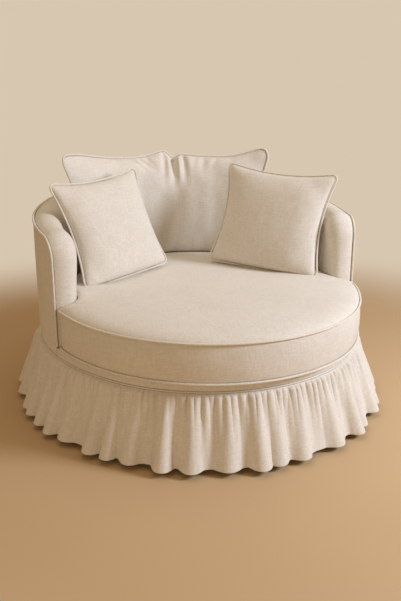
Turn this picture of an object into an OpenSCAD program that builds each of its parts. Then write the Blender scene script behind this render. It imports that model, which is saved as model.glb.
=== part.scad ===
// Round lounge chair: low barrel back, one deep round seat cushion, a curved back cushion,
// two loose pillows and a gathered skirt that hides a base on a ball-bearing swivel.
// The front of the chair faces -Y. The floor is Z = 0 and the swivel turns about Z.

/* [Plan] */
// Radius of the barrel's back, outside
back_r = 600; // [560:5:640]
// Reach of the base ahead of the barrel's centre
front_reach = 680; // [660:5:720]
// Radius of the arc that rounds the front of the base
front_r = 552; // [520:4:556]

/* [Barrel] */
// Thickness of the padded wall
wall_t = 105; // [95:1:120]
// How far the arms run ahead of the barrel's centre
arm_front = 210; // [180:5:240]
// Height of the piped edge at the front of the arms
arm_h = 652; // [600:2:700]
// Height of the piped edge at the middle of the back
back_h = 740; // [720:5:780]
// Radius of the piped edge where it turns down at the arm's front
corner_r = 75; // [60:1:90]
// How far the padded roll stands above the piped edge
roll_rise = 16; // [8:1:22]
// How far the roll reaches down the inside before the wall runs plumb
roll_depth = 48; // [40:1:60]
// Radius of the piping cord with its cloth
piping_r = 4; // [3:0.5:5]

/* [Skirt] */
// Height of the hem above the floor
hem_h = 20; // [12:1:40]
// Height of the seam that the skirt hangs from
seam_h = 243; // [232:1:246]
// How far the hem stands out from the seam
flare = 88; // [40:2:100]
// Number of main folds
folds = 48; // [36:4:60]
// Height of a fold at the hem, each way from its middle
fold_depth = 12; // [6:1:16]
// Thickness of the skirt with its lining
skirt_t = 4; // [2:0.5:6]

/* [Base] */
// Outer radius of the ring on the floor
floor_ring_r = 400; // [360:10:440]
// Width of the ring on the floor
floor_ring_w = 100; // [80:5:120]
// Thickness of the plywood boards
board_t = 18; // [15:1:24]
// Height of a floor glide
glide_h = 8; // [6:1:12]
// Radius of a floor glide
glide_r = 14; // [10:1:18]
// Number of floor glides
glides = 6; // [5:1:8]
// Width of the two cross bars
cross_w = 90; // [80:5:110]
// Thickness of the two cross bars
cross_t = 22; // [20:1:26]

/* [Swivel bearing] */
// Side of the square bearing plates
plate_w = 300; // [290:2:310]
// Thickness of the bearing plates
plate_t = 3; // [2:0.5:4]
// Radius of the ball race
race_r = 105; // [95:1:110]
// Radius of a bearing ball
ball_r = 4; // [3.5:0.5:4.5]
// Number of bearing balls
balls = 24; // [16:1:30]
// Radius of the pivot rivet's shank
pivot_r = 10; // [8:0.5:12]

/* [Frame] */
// Height of the bearers that carry the seat frame
bearer_h = 40; // [35:1:45]
// Width of a bearer
bearer_w = 60; // [56:1:70]
// Distance between the middles of the two bearers
bearer_gap = 230; // [220:2:240]
// Width of the plywood rings of the seat frame
ring_w = 137; // [130:1:150]
// Height of the seat ring's top face
seat_ring_h = 253; // [250:1:258]
// Depth of the posts, studs and rails, from outside to inside
frame_t = 40; // [30:1:42]
// Width of a post
post_w = 45; // [35:1:60]
// Thickness of the top rail
rail_t = 22; // [18:1:28]
// Number of back posts
posts = 9; // [5:2:11]
// Number of studs between the two seat frame rings
studs = 12; // [8:2:16]
// Width of a webbing strap
strap_w = 60; // [50:1:70]
// Distance between the middles of two straps
strap_pitch = 130; // [120:1:150]

/* [Seat cushion] */
// Width of the cushion across its ears
seat_w = 1114; // [1080:2:1130]
// Half length of the cushion's rounded front
seat_front_l = 580; // [560:2:600]
// Reach of the cushion ahead of the barrel's centre
seat_reach = 704; // [690:2:720]
// Height of the upper seam above the deck
seat_seam = 134; // [120:1:150]
// Height of the crown above the upper seam
seat_crown = 36; // [20:1:44]
// How far the boxing bulges between its two seams
boxing_out = 7; // [0:1:8]
// Gap between the cushion and the wall
seat_gap = 4; // [3:0.5:8]

/* [Back cushion] */
// Angle that the back cushion spans round the barrel
backc_span = 122; // [110:1:126]
// Height of the back cushion between its seams
backc_h = 424; // [380:2:440]
// Greatest thickness of the back cushion
backc_t = 108; // [90:1:112]
// How far its lower corners stand inside the wall
backc_in = 69; // [68:1:76]
// How far it is pushed round to the left
backc_turn = 4; // [0:1:5]
// How far its top leans out past its foot
backc_lean = 22; // [10:1:30]
// How far its upper corners spread out and up
backc_ear = 64; // [40:1:70]

/* [Pillows] */
// Width of the left pillow
pillow_l_w = 416; // [380:2:440]
// Height of the left pillow
pillow_l_h = 396; // [380:2:430]
// Width of the right pillow
pillow_r_w = 458; // [420:2:460]
// Height of the right pillow
pillow_r_h = 402; // [390:2:430]
// Greatest thickness of a pillow
pillow_t = 130; // [100:2:140]
// How far a pillow's sides are drawn in between the corners, as a share of its half width
pillow_pull = 0.07; // [0.03:0.01:0.1]

/* [Cloth and fits] */
// Thickness of the cover cloth with its backing
cover_t = 3; // [2:0.5:4]
// Thickness of the bent panels under the wadding
panel_t = 4; // [3:0.5:5]
// Thickness of the wadding between panel and cloth
wadding_t = 4.6; // [3:0.2:6]
// Gap between neighbouring soft pieces
gap = 0.4; // [0.3:0.05:0.6]
// Gap round a screw or stem in its hole
hole_gap = 0.05; // [0.02:0.01:0.1]

/* [Hidden] */
linen = "#E6D9C8";
shade = "#D8C8B2";
ply = "#C9A878";
hardwood = "#B98F5E";
steel = "#9AA0A6";
foam = "#EFE3B0";
fibre = "#F4F2EC";
black_cloth = "#2B2B2D";
jute = "#B9A07A";
$fn = 48;

// Plan: a half circle behind, a side arc and a front arc ahead, all tangent
back_c = (front_reach - back_r) / 2;
side_r = (back_r * back_r + pow(front_reach - front_r, 2) - front_r * front_r) / (2 * (back_r - front_r));
side_cx = side_r - back_r;
front_cy = front_reach - front_r;
handover = atan2(front_cy, side_cx);
side_run = side_r * handover * PI / 180;
front_run = front_r * (90 - handover) * PI / 180;
// Degrees of plan angle for each millimetre along the front half of the outline
per_mm = 90 / (side_run + front_run);
plan_step = 5;

// A plan angle runs from -90 at the middle of the front, through 0 at the right side and
// 90 at the middle of the back, to 270 at the front again
function run_of(b) = b / per_mm;
function turned(b) = run_of(b) < side_run ? run_of(b) / side_r * 180 / PI
  : handover + (run_of(b) - side_run) / front_r * 180 / PI;
function oval_right(a, inset) =
  a >= 0 ? [0, back_c] + (back_r - inset) * [cos(a), sin(a)]
  : run_of(-a) < side_run ? [-side_cx, back_c] + (side_r - inset) * [cos(turned(-a)), -sin(turned(-a))]
  : [0, back_c - front_cy] + (front_r - inset) * [cos(turned(-a)), -sin(turned(-a))];
// Plan angle of the point of the side arc that lies so far ahead of the widest line
function plan_angle(ahead, inset) = -per_mm * side_r * asin(ahead / (side_r - inset)) * PI / 180;
function flip_x(p) = [-p[0], p[1]];
function oval(a, inset) = a <= 90 ? oval_right(a, inset) : flip_x(oval_right(180 - a, inset));

module oval_disc(inset) {
  polygon([for (a = [-90 : plan_step : 265]) oval(a, inset)]);
}
module oval_ring(inner, outer) {
  difference() {
    oval_disc(outer);
    oval_disc(inner);
  }
}
module plate(z0, z1) {
  translate([0, 0, z0]) linear_extrude(z1 - z0) children();
}

// Side view of the barrel's wall: plumb front, round corner, top that rises to the back
arm_y = back_c - arm_front;
slope = (back_h - arm_h) / (back_r + arm_front);
function top_at(y) = arm_h + (y - arm_y) * slope;
corner_z = top_at(arm_y + corner_r) - corner_r;
side_l = 2 * back_r;
module side_view(inset, low) {
  y0 = arm_y + corner_r;
  polygon(concat(
    [[side_l, low], [arm_y + inset, low]],
    [for (q = [0 : 18 : 72]) [y0 - (corner_r - inset) * cos(q), corner_z + (corner_r - inset) * sin(q)]],
    [[y0, top_at(y0) - inset], [side_l, top_at(side_l) - inset]]
  ));
}
module side_cut(inset, low, back = 0) {
  translate([0, back, 0]) rotate([90, 0, 90])
    linear_extrude(3 * back_r, center = true) side_view(inset, low);
}
// A layer of the wall between two insets, cut to the side view
module wall_layer(outer, inner, top_inset, low, back = 0) {
  intersection() {
    plate(low, 2 * back_h) oval_ring(inner, outer);
    side_cut(top_inset, low, back);
  }
}
// The plan ahead of the arms, less a margin
module ahead_of_arms(margin) {
  translate([-2 * back_r, -2 * back_r]) square([4 * back_r, arm_y - margin + 2 * back_r]);
}

// Layers of the wall, as insets from the finished outside
wadding_in = cover_t + gap;
panel_in = wadding_in + wadding_t + gap;
frame_in = panel_in + panel_t + gap;
lining_in = frame_in + frame_t + gap;
lining_t = 3;
foam_in = lining_in + lining_t + 0.6;
frame_drop = 34;
// The padding ends square to the wall, so the frame, cut straight across, stands further back
set_back = 14;
foam_drop = frame_drop - 4;
// Clear of the short straight facets on the inside of the wall
facet_gap = 2.6;
deck_in = wall_t + facet_gap;

// Heights, from the floor up
floor_ring_top = glide_h + board_t;
cross_top = floor_ring_top + cross_t;
lower_plate_top = cross_top + plate_t;
ball_z = lower_plate_top + 2 + ball_r;
upper_plate_low = ball_z + ball_r + 2;
upper_plate_top = upper_plate_low + plate_t;
bearer_top = upper_plate_top + bearer_h;
bottom_ring_top = bearer_top + board_t;
seat_ring_low = seat_ring_h - board_t;
strap_t = 2;
webbing_top = seat_ring_h + 2 * strap_t;
deck_cloth_t = 1.7;
deck_h = seam_h + 33;
race_h = 5;
race_half = 8;
race_clear = 0.1;
rivet_head = 3;
screw_place = plate_w / 2 - 25;
cross_half = floor_ring_r - 12;
wall_low = seat_ring_h + gap;

// Faces between neighbouring loops of n points; loops run along the piece. Two skins that lie
// close together share the way their four-sided fields are cut in two
function band_faces(loops, n, join, other_cut) = [
  for (i = [0 : loops - (join ? 1 : 2)], j = [0 : n - 1], k = [0, 1])
    let (e = (j + 1) % n, up = ((i + 1) % loops) * n)
    other_cut ? (k == 0 ? [i * n + j, i * n + e, up + j] : [i * n + e, up + e, up + j])
    : k == 0 ? [i * n + j, i * n + e, up + e] : [i * n + j, up + e, up + j]
];
// Faces that close a loop made of an outer row and the same row coming back
function strip_cap(start, n, first) = [
  for (j = [0 : n / 2 - 2], k = [0, 1])
    let (a = start + j, b = start + j + 1, c = start + n - 2 - j, d = start + n - 1 - j)
    first ? (k == 0 ? [a, c, b] : [a, d, c]) : (k == 0 ? [a, b, c] : [a, c, d])
];
function reversed(list) = [for (i = [len(list) - 1 : -1 : 0]) list[i]];
// A solid through loops, each a row out and the same row coming back; every loop runs
// clockwise as seen from the end that the loops advance to
module loft(loops, join = false, other_cut = false) {
  n = len(loops[0]);
  points = [for (loop = loops) for (p = loop) p];
  ends = join ? [] : concat(strip_cap(0, n, true), strip_cap((len(loops) - 1) * n, n, false));
  faces = concat(band_faces(len(loops), n, join, other_cut), ends);
  polyhedron(points = points, faces = faces, convexity = 8);
}
// A solid through plain loops, closed by a point at each end
module shell(loops, low, high) {
  n = len(loops[0]);
  m = len(loops) * n;
  points = concat([for (loop = loops) for (p = loop) p], [low, high]);
  ends = [for (j = [0 : n - 1]) each [[m, (j + 1) % n, j], [m + 1, m - n + j, m - n + (j + 1) % n]]];
  polyhedron(points = points, faces = concat(band_faces(len(loops), n, false, false), ends), convexity = 8);
}
function unit(v) = v / norm(v);
// A tube of a few sides along a path; each point has a direction that its sides are turned to
module tube(path, refs, r, sides = 6, join = true) {
  n = len(path);
  rings = [for (i = [0 : n - 1])
    let (
      before = join ? path[(i + n - 1) % n] : path[max(i - 1, 0)],
      after = join ? path[(i + 1) % n] : path[min(i + 1, n - 1)],
      t = unit(after - before), u = unit(cross(t, refs[i])), v = cross(u, t)
    )
    [for (k = [0 : sides - 1]) path[i] + r * (u * cos(360 / sides * k) + v * sin(360 / sides * k))]
  ];
  ends = join ? [] : [[for (k = [sides - 1 : -1 : 0]) k], [for (k = [0 : sides - 1]) (n - 1) * sides + k]];
  polyhedron(
    points = [for (ring = rings) for (p = ring) p],
    faces = concat(band_faces(n, sides, join, false), ends), convexity = 8
  );
}

// Base

stem_r = 4;
stem_h = 12;
module at_glides() {
  for (i = [0 : glides - 1]) rotate(360 / glides * (i + 0.5))
    translate([floor_ring_r - floor_ring_w / 2, 0, 0]) children();
}
module floor_glides() color(black_cloth) at_glides() {
  cylinder(r = glide_r, h = glide_h);
  cylinder(r = stem_r, h = glide_h + stem_h);
}

module floor_ring() color(ply) difference() {
  translate([0, 0, glide_h]) cylinder(r = floor_ring_r, h = board_t, $fn = 96);
  translate([0, 0, glide_h - 1]) cylinder(r = floor_ring_r - floor_ring_w, h = board_t + 2, $fn = 96);
  at_glides() cylinder(r = stem_r + hole_gap, h = glide_h + stem_h + gap);
}

module at_screws() {
  for (x = [-1, 1], y = [-1, 1]) translate([x * screw_place, y * screw_place, 0]) children();
}
// A cross bar; the screws of the lower plate need the bars' ends wide enough to hold them
module cross_bar(angle, low, high) {
  rotate(angle) difference() {
    translate([-cross_half, -cross_w / 2, floor_ring_top]) cube([2 * cross_half, cross_w, cross_t]);
    translate([-cross_w / 2 - gap, -cross_w, low]) cube([cross_w + 2 * gap, 2 * cross_w, high - low]);
  }
}
module screw_holes(r, low, high) {
  at_screws() translate([0, 0, low]) cylinder(r = r, h = high - low);
}
screw_r = 2.5;
screw_low = floor_ring_top + 4;
module cross_bar_lower() color(hardwood) difference() {
  cross_bar(45, floor_ring_top + cross_t / 2, cross_top + 1);
  screw_holes(screw_r + hole_gap, screw_low - gap, cross_top + 1);
}
module cross_bar_upper() color(hardwood) difference() {
  cross_bar(-45, floor_ring_top - 1, floor_ring_top + cross_t / 2 + gap);
  screw_holes(screw_r + hole_gap, screw_low - gap, cross_top + 1);
}

// A raised ring with a groove for the balls, on the plate's face
module race_groove() {
  translate([0, 0, ball_z]) rotate_extrude($fn = 96)
    translate([race_r, 0]) circle(r = ball_r + race_clear, $fn = 32);
}
module race_ring(low, high) {
  translate([0, 0, low]) difference() {
    cylinder(r = race_r + race_half, h = high - low, $fn = 96);
    translate([0, 0, -1]) cylinder(r = race_r - race_half, h = high - low + 2, $fn = 96);
  }
}
module bearing_plate(low) {
  translate([-plate_w / 2, -plate_w / 2, low]) cube([plate_w, plate_w, plate_t]);
}
module swivel_lower_plate() color(steel) difference() {
  union() {
    bearing_plate(cross_top);
    race_ring(cross_top + plate_t / 2, lower_plate_top + race_h);
  }
  race_groove();
  translate([0, 0, cross_top - 1]) cylinder(r = pivot_r + hole_gap, h = plate_t + 2);
  screw_holes(screw_r + hole_gap, cross_top - 1, lower_plate_top + 1);
}
module lower_plate_screws() color(steel) at_screws() {
  translate([0, 0, screw_low]) cylinder(r = screw_r, h = lower_plate_top - screw_low);
  translate([0, 0, lower_plate_top]) cylinder(r = 5, h = 2.5);
}
module bearing_balls() color(steel)
  for (i = [0 : balls - 1]) rotate(360 / balls * i)
    translate([race_r, 0, ball_z]) sphere(r = ball_r, $fn = 24);
module ball_cage() color(shade) difference() {
  translate([0, 0, ball_z - 0.6]) difference() {
    cylinder(r = race_r + race_half - 1, h = 1.2, $fn = 96);
    translate([0, 0, -1]) cylinder(r = race_r - race_half + 1, h = 4, $fn = 96);
  }
  for (i = [0 : balls - 1]) rotate(360 / balls * i) translate([race_r, 0, ball_z - 2])
    cylinder(r = ball_r + 0.3, h = 4);
}
module pivot_rivet() color(steel) {
  translate([0, 0, cross_top + gap]) cylinder(r = pivot_r, h = upper_plate_top + gap - cross_top);
  translate([0, 0, upper_plate_top + gap]) cylinder(r = pivot_r + 6, h = rivet_head);
}

// Seat frame that turns on the bearing

module at_bolts() {
  for (x = [-1, 1], y = [-1, 1]) translate([x * bearer_gap / 2, y * screw_place, 0]) children();
}
module swivel_upper_plate() color(steel) difference() {
  union() {
    bearing_plate(upper_plate_low);
    race_ring(upper_plate_low - race_h, upper_plate_low + plate_t / 2);
  }
  race_groove();
  translate([0, 0, upper_plate_low - 1]) cylinder(r = pivot_r + hole_gap, h = plate_t + 2);
  at_bolts() translate([0, 0, upper_plate_low - 1]) cylinder(r = 3 + hole_gap, h = plate_t + 2);
}
module upper_plate_bolts() color(steel) at_bolts() {
  translate([0, 0, upper_plate_low - 3]) cylinder(r = 6, h = 3);
  translate([0, 0, upper_plate_low]) cylinder(r = 3, h = plate_t + bearer_h - 10);
}
bearer_half = back_r - 20;
// Places of the screws that hold the bearers to the bottom ring
module at_bearer_screws() {
  for (x = [-1, 1], y = [-1, 1]) translate([x * bearer_gap / 2, y * (bearer_half - 50), 0]) children();
}
module bearers() color(hardwood) difference() {
  for (x = [-1, 1]) translate([x * bearer_gap / 2 - bearer_w / 2, -bearer_half, upper_plate_top])
    cube([bearer_w, 2 * bearer_half, bearer_h]);
  at_bolts() translate([0, 0, upper_plate_top - 1]) cylinder(r = 3 + hole_gap, h = bearer_h - 9 + gap);
  at_bearer_screws() translate([0, 0, upper_plate_top - 1]) cylinder(r = 3 + hole_gap, h = bearer_h + 2);
}
module bearer_screws() color(steel) at_bearer_screws() {
  translate([0, 0, upper_plate_top - 3]) cylinder(r = 7, h = 3);
  translate([0, 0, upper_plate_top]) cylinder(r = 3, h = bearer_h + board_t - 4);
}
module bottom_ring() color(ply) difference() {
  plate(bearer_top, bottom_ring_top) oval_ring(frame_in + ring_w, frame_in);
  at_bearer_screws() translate([0, 0, bearer_top - 1]) cylinder(r = 3 + hole_gap, h = board_t - 3 + gap);
}
// Blocks that stand square to the outline
module uprights(angles, depth, low, high) {
  for (a = angles) {
    p = oval(a, frame_in + depth / 2);
    q = oval(a, frame_in);
    translate([p[0], p[1], low]) rotate(atan2(q[1] - p[1], q[0] - p[0]))
      translate([-depth / 2 + 1, -post_w / 2, 0]) cube([depth - 2, post_w, high - low]);
  }
}
module frame_studs() color(hardwood)
  uprights([for (i = [0 : studs - 1]) -75 + 360 / studs * i], frame_t, bottom_ring_top, seat_ring_low);
module seat_ring() color(ply) plate(seat_ring_low, seat_ring_h) oval_ring(frame_in + ring_w, frame_in);

strap_rows = floor((back_r - wall_t) / strap_pitch);
strap_in = deck_in + 4;
module webbing_lengthways() color(jute) intersection() {
  plate(seat_ring_h, seat_ring_h + strap_t) oval_disc(strap_in);
  for (i = [-strap_rows : strap_rows])
    translate([i * strap_pitch - strap_w / 2, -side_l, seat_ring_h - 1]) cube([strap_w, 2 * side_l, 10]);
}
module webbing_crossways() color(jute) intersection() {
  plate(seat_ring_h + strap_t, webbing_top) oval_disc(strap_in);
  for (i = [-strap_rows : strap_rows])
    translate([-side_l, i * strap_pitch - strap_w / 2, seat_ring_h]) cube([2 * side_l, strap_w, 10]);
}

// Wall frame

rail_low = frame_drop + rail_t;
stile_top = corner_z - 20;
module back_posts() color(hardwood) intersection() {
  uprights([for (i = [0 : posts - 1]) 180 / (posts - 1) * i], frame_t, seat_ring_h, 2 * back_h);
  side_cut(rail_low + hole_gap, seat_ring_h, set_back);
}
module front_loop() {
  difference() {
    wall_layer(frame_in, frame_in + frame_t, frame_drop, seat_ring_h, set_back);
    side_cut(rail_low, seat_ring_h - 1, set_back);
  }
}
module top_rail() color(ply) intersection() {
  front_loop();
  plate(stile_top, 2 * back_h) square(4 * back_r, center = true);
}
module arm_front_stiles() color(hardwood) intersection() {
  front_loop();
  plate(seat_ring_h, stile_top) square(4 * back_r, center = true);
}
module outer_board() color(jute) wall_layer(panel_in, panel_in + panel_t, frame_drop, bearer_top);
module front_board() color(jute) {
  plate(bearer_top, deck_h - gap) intersection() {
    oval_ring(panel_in + panel_t, panel_in);
    ahead_of_arms(roll_rise + 4);
  }
  plate(bearer_top, seat_ring_h) intersection() {
    oval_ring(panel_in + panel_t, panel_in);
    difference() {
      ahead_of_arms(-frame_drop + gap);
      ahead_of_arms(roll_rise + 4);
    }
  }
}
band_low = seam_h + 4;
module inner_board() color(jute)
  wall_layer(lining_in, lining_in + lining_t, frame_drop, seat_ring_h, set_back);
module outside_wadding() color(fibre)
  wall_layer(wadding_in, wadding_in + wadding_t, piping_r + 4, band_low);
module outside_cover() color(shade) wall_layer(0, cover_t, piping_r - 1 + gap, band_low);

// Padded roll: a quarter over the inside of the wall, then the outer slope down to the piping
crest_w = wall_t / 2;
roll_turns = [0, 20, 40, 60, 90, 110, 125, 140];
function roll_point(q, e) = q <= 90
  ? [crest_w + (wall_t - crest_w - e) * cos(q), roll_depth - (roll_depth + roll_rise - e) * sin(q)]
  : [crest_w + (crest_w + 8 - e) * cos(q), 28 - (28 + roll_rise - e) * sin(q)];

// Stations along the wall's edge, right half: plan angle, height, and the edge's turn from
// 0 on the plumb front to 90 on the top
arm_a = plan_angle(arm_front, 0);
edge_front = [for (z = [deck_h + piping_r + 1 : 45 : corner_z - 20]) [arm_a, z, 0]];
edge_corner = [for (q = [0 : 18 : 90])
  [arm_a + corner_r * (1 - cos(q)) * per_mm, corner_z + corner_r * sin(q), q]];
function edge_top(step) = [for (a = [-10 : step : 90]) [a, top_at(oval(a, 0)[1]), 90]];
edge_half = concat(edge_front, edge_corner, edge_top(2 * plan_step));
fan_end = len(edge_front) + len(edge_corner) + 1;
fan_start_a = arm_a + (roll_depth + 14) * per_mm;
function foot_angle(i) = i < fan_end
  ? fan_start_a + (edge_half[fan_end][0] - fan_start_a) * i / fan_end : edge_half[i][0];
// A point of the wall at inset w, and d down from the edge
function wall_point(s, w, d) = let (p = oval(s[0] + d * cos(s[2]) * per_mm, w)) [p[0], p[1], s[1] - d * sin(s[2])];
function foot_point(i, w, z) = let (p = oval(foot_angle(i), w)) [p[0], p[1], z];
function mirrored(loops) = [for (i = [len(loops) - 2 : -1 : 0]) [for (p = loops[i]) [-p[0], p[1], p[2]]]];
function both_sides(loops) = concat(loops, mirrored(loops));
function roll_row(i, e, low) = concat(
  [foot_point(i, wall_t - e, low)],
  [for (q = roll_turns) let (r = roll_point(q, e)) wall_point(edge_half[i], r[0], r[1])]
);
frame_row_w = [1, 1, 1, 1, 0.7, 0.4, 0.2, 0];
frame_row_d = [1.3, 1.2, 1.1, 1, 1, 1, 1, 1];
foam_out = panel_in + 0.6;
function frame_row(i, low) = concat(
  [foot_point(i, foam_in, low)],
  [for (k = [0 : len(roll_turns) - 1])
    wall_point(edge_half[i], foam_out + (foam_in - foam_out) * frame_row_w[k], foam_drop * frame_row_d[k])]
);
module wall_foam() color(foam) loft(both_sides([for (i = [0 : len(edge_half) - 1])
  concat(frame_row(i, wall_low), reversed(roll_row(i, cover_t + gap, wall_low)))]), other_cut = true);
module inside_cover() color(linen) loft(both_sides([for (i = [0 : len(edge_half) - 1])
  concat(roll_row(i, cover_t, wall_low), reversed(roll_row(i, 0, wall_low)))]));
piping_half = concat(edge_front, edge_corner, edge_top(plan_step));
piping_path = both_sides([for (s = piping_half) [wall_point(s, 1, -1)]]);
piping_refs = both_sides([for (s = piping_half) [concat(unit(oval(s[0], 0) - oval(s[0], 9)), 0)]]);
module wall_piping() color(linen)
  tube([for (p = piping_path) p[0]], [for (p = piping_refs) p[0]], piping_r, join = false);

// Front border, welt and skirt

module front_wadding() color(fibre) plate(band_low, deck_h - gap) intersection() {
  oval_ring(wadding_in + wadding_t, wadding_in);
  ahead_of_arms(roll_rise + 4);
}
module border_band() color(shade) plate(band_low, deck_h) intersection() {
  oval_ring(cover_t, 0);
  ahead_of_arms(1 - piping_r);
}
welt_r = 3;
around = [for (a = [-90 : plan_step : 265]) a];
module border_welt() color(linen)
  tube([for (a = around) concat(oval(a, 0), seam_h)], [for (a = around) [0, 0, 1]], welt_r);
skirt_top = seam_h - welt_r - gap;
tape_in = skirt_t + 1;
module skirt_tape() color(jute) plate(skirt_top - 35, skirt_top) oval_ring(panel_in - gap, tape_in);

// Main folds of the skirt: small at the heading, full at the hem
skirt_rows = [0, 0.3, 1];
heading_ripple = 1.5;
function skirt_out(t, wave) = -skirt_t / 2 - gap + heading_ripple + flare * t
  + (heading_ripple + (fold_depth - heading_ripple) * pow(t, 0.7)) * wave;
function skirt_point(a, t, wave, out) = concat(
  oval(a, -skirt_out(t, wave) - out), skirt_top - (skirt_top - hem_h) * t);
module skirt() color(linen) loft([for (i = [0 : folds * 4 - 1])
  let (a = -90 + 90 / folds * i, wave = i % 4 < 2 ? 1 : -1) concat(
    [for (t = skirt_rows) skirt_point(a, t, wave, -skirt_t / 2)],
    [for (t = reversed(skirt_rows)) skirt_point(a, t, wave, skirt_t / 2)]
  )], join = true);

// Deck that the seat cushion lies on

module deck_area(margin) {
  intersection() {
    oval_disc(frame_in);
    union() {
      oval_disc(deck_in);
      ahead_of_arms(margin);
    }
  }
}
module deck_pad() color(fibre) plate(webbing_top, deck_h - deck_cloth_t) deck_area(roll_rise + 4);
module deck_cloth() color(black_cloth) plate(deck_h - deck_cloth_t, deck_h) deck_area(roll_rise + 4);
module dust_cover() color(black_cloth) plate(bearer_top - 1.5, bearer_top) difference() {
  oval_disc(frame_in + 10);
  for (x = [-1, 1]) translate([x * bearer_gap / 2 - bearer_w / 2 - gap, -2 * back_r])
    square([bearer_w + 2 * gap, 4 * back_r]);
}

// Seat cushion: rounded front with ears ahead of the arms, rounded back between them

seat_low = deck_h + gap;
seat_high = deck_h + seat_seam;
seat_cy = back_c - seat_reach + seat_front_l;
seat_in = wall_t + seat_gap + 2 * piping_r + gap;
arm_turn = asin(arm_front / side_r);
ear_y = back_c - (side_r - crest_w) * sin(arm_turn) - roll_rise - seat_gap - 2 * piping_r;
ear_turn = asin((seat_cy - ear_y) / seat_front_l);
seat_mid = [0, ear_y - 110];
notch_a = plan_angle(back_c - ear_y, seat_in);
seat_steps = 18;
back_steps = 14;
// Outline of the cushion's seam, from the right ear round the front to the left and back again
seat_outline = concat(
  [for (i = [0 : seat_steps]) let (q = -ear_turn - (180 - 2 * ear_turn) * i / seat_steps)
    [seat_w / 2 * cos(q), seat_cy + seat_front_l * sin(q)]],
  [for (i = [0 : back_steps]) oval(180 - notch_a - (180 - 2 * notch_a) * i / back_steps, seat_in)]
);
// Each corner of a closed outline moved square to its two edges
function edge_normal(p, q) = let (t = unit(q - p)) [-t[1], t[0]];
function grown(list, mm) = let (n = len(list)) [for (i = [0 : n - 1])
  let (b = edge_normal(list[(i + n - 1) % n], list[i]) + edge_normal(list[i], list[(i + 1) % n]))
    list[i] + 2 * mm / (b * b) * b];
// The boxing stands proud only ahead of the arms
function boxing_loop(proud, mm, z) = let (
    line = grown(seat_outline, -mm), out = grown(seat_outline, proud - mm)
  ) [for (i = [0 : len(line) - 1]) concat(line[i][1] < ear_y - 20 ? out[i] : line[i], z)];
// Rings of the crown: first square in from the seam, then towards the middle, where they
// let go of the ears
rim_rows = [[20, 0.42], [70, 0.74]];
mid_rows = [[0.72, 0.93], [0.4, 1]];
ear_share = 0.16;
function rim_loop(mm, z) = [for (p = grown(seat_outline, -mm)) concat(p, z)];
function mid_loop(k, mm, z) = let (line = grown(seat_outline, -mm)) [for (i = [0 : len(line) - 1])
  let (v = line[i] - seat_mid, side = abs(v[0]) / norm(v))
  let (drop = i <= seat_steps ? ear_share * pow(side, 4) : 0) concat(seat_mid + v * k * (1 - drop), z)];
module seat_form(e, slack = 0) {
  low = seat_low + e;
  high = seat_high - e * 0.5;
  crown = seat_crown - e * 0.5 - slack;
  shell(
    concat(
      [mid_loop(0.5, e + rim_rows[1][0], low), rim_loop(e + rim_rows[0][0] / 2, low)],
      [boxing_loop(0, e, low + piping_r + gap), boxing_loop(boxing_out, e, (low + high) / 2)],
      [boxing_loop(0, e, high)],
      [for (c = rim_rows) rim_loop(e + c[0], high + crown * c[1])],
      [for (c = mid_rows) mid_loop(c[0], e + rim_rows[1][0], high + crown * c[1])]
    ),
    concat(seat_mid, low), concat(seat_mid, high + crown)
  );
}
wrap_slack = 2;
core_in = 26;
core_low = seat_low + cover_t + gap + 10;
core_high = seat_high - 12;
module seat_core_shape(grow) {
  plate(core_low - grow, core_high + grow) polygon(grown(seat_outline, grow - core_in));
}
module seat_core() color(foam) seat_core_shape(0);
module seat_wrap() color(fibre) difference() {
  seat_form(cover_t + 2 * gap, wrap_slack);
  seat_core_shape(gap);
}
module seat_cover() color(linen) difference() {
  seat_form(0);
  seat_form(cover_t);
}
module seat_piping(z) {
  path = [for (p = grown(seat_outline, piping_r + gap)) concat(p, z)];
  tube(path, [for (p = path) [0, 0, 1]], piping_r);
}
module seat_piping_upper() color(linen) seat_piping(seat_high);
module seat_piping_lower() color(linen) seat_piping(seat_low + piping_r + gap);
seat_zip_h = 24;
seat_zip_turn = 80;
module seat_zip() color(steel) translate([0, back_c, (seat_low + seat_high - seat_zip_h) / 2])
  rotate(90 - seat_zip_turn / 2) rotate_extrude(angle = seat_zip_turn, $fn = 96)
    translate([back_r - seat_in + gap, 0]) square([1.6, seat_zip_h]);

// Back cushion: knife-edged, bent to the barrel, upper corners spread like ears

cord_r = 3.5;
// Height of a cushion's seam above what its piping rests on
cord_lift = 2 * cord_r + 1.6;
backc_z = seat_high + 0.65 * seat_crown + cord_lift + backc_h / 2;
rim = 4;
thinned = 0.8;
// Zip of a cushion: behind the piping, out from the rim and back from it
zip_r = 1.5;
zip_out = 1.4;
zip_back = 6.4;
// Share by which the upper edge dips between its corners
backc_dip = 0.04;
// Middle surface; u runs from -1 at the right end to 1 at the left, v from -1 at the foot to 1
function spread_share(u, v) = pow(abs(u), 3) * pow(max((v + 1) / 2, 0), 2);
function backc_mid(u, v) = let (
    a = 90 + backc_turn + backc_span / 2 * u * (1 - 0.025 * (1 - v * v)),
    r = back_r - wall_t - backc_in + backc_lean * (v + 1) / 2 + backc_ear * spread_share(u, v),
    dip = v > 0 ? backc_dip * (1 - u * u) : 0,
    z = backc_z + backc_h / 2 * v * (1 - dip) + 0.35 * backc_ear * spread_share(u, v)
  ) [r * cos(a), back_c + r * sin(a), z];
function backc_normal(u, v) = let (h = 0.01,
    du = backc_mid(u + h, v) - backc_mid(u - h, v), dv = backc_mid(u, v + h) - backc_mid(u, v - h))
  unit(cross(du, dv));
function puff(u, v) = pow(max(1 - u * u, 0), 0.5) * pow(max(1 - v * v, 0), 0.5);
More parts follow.
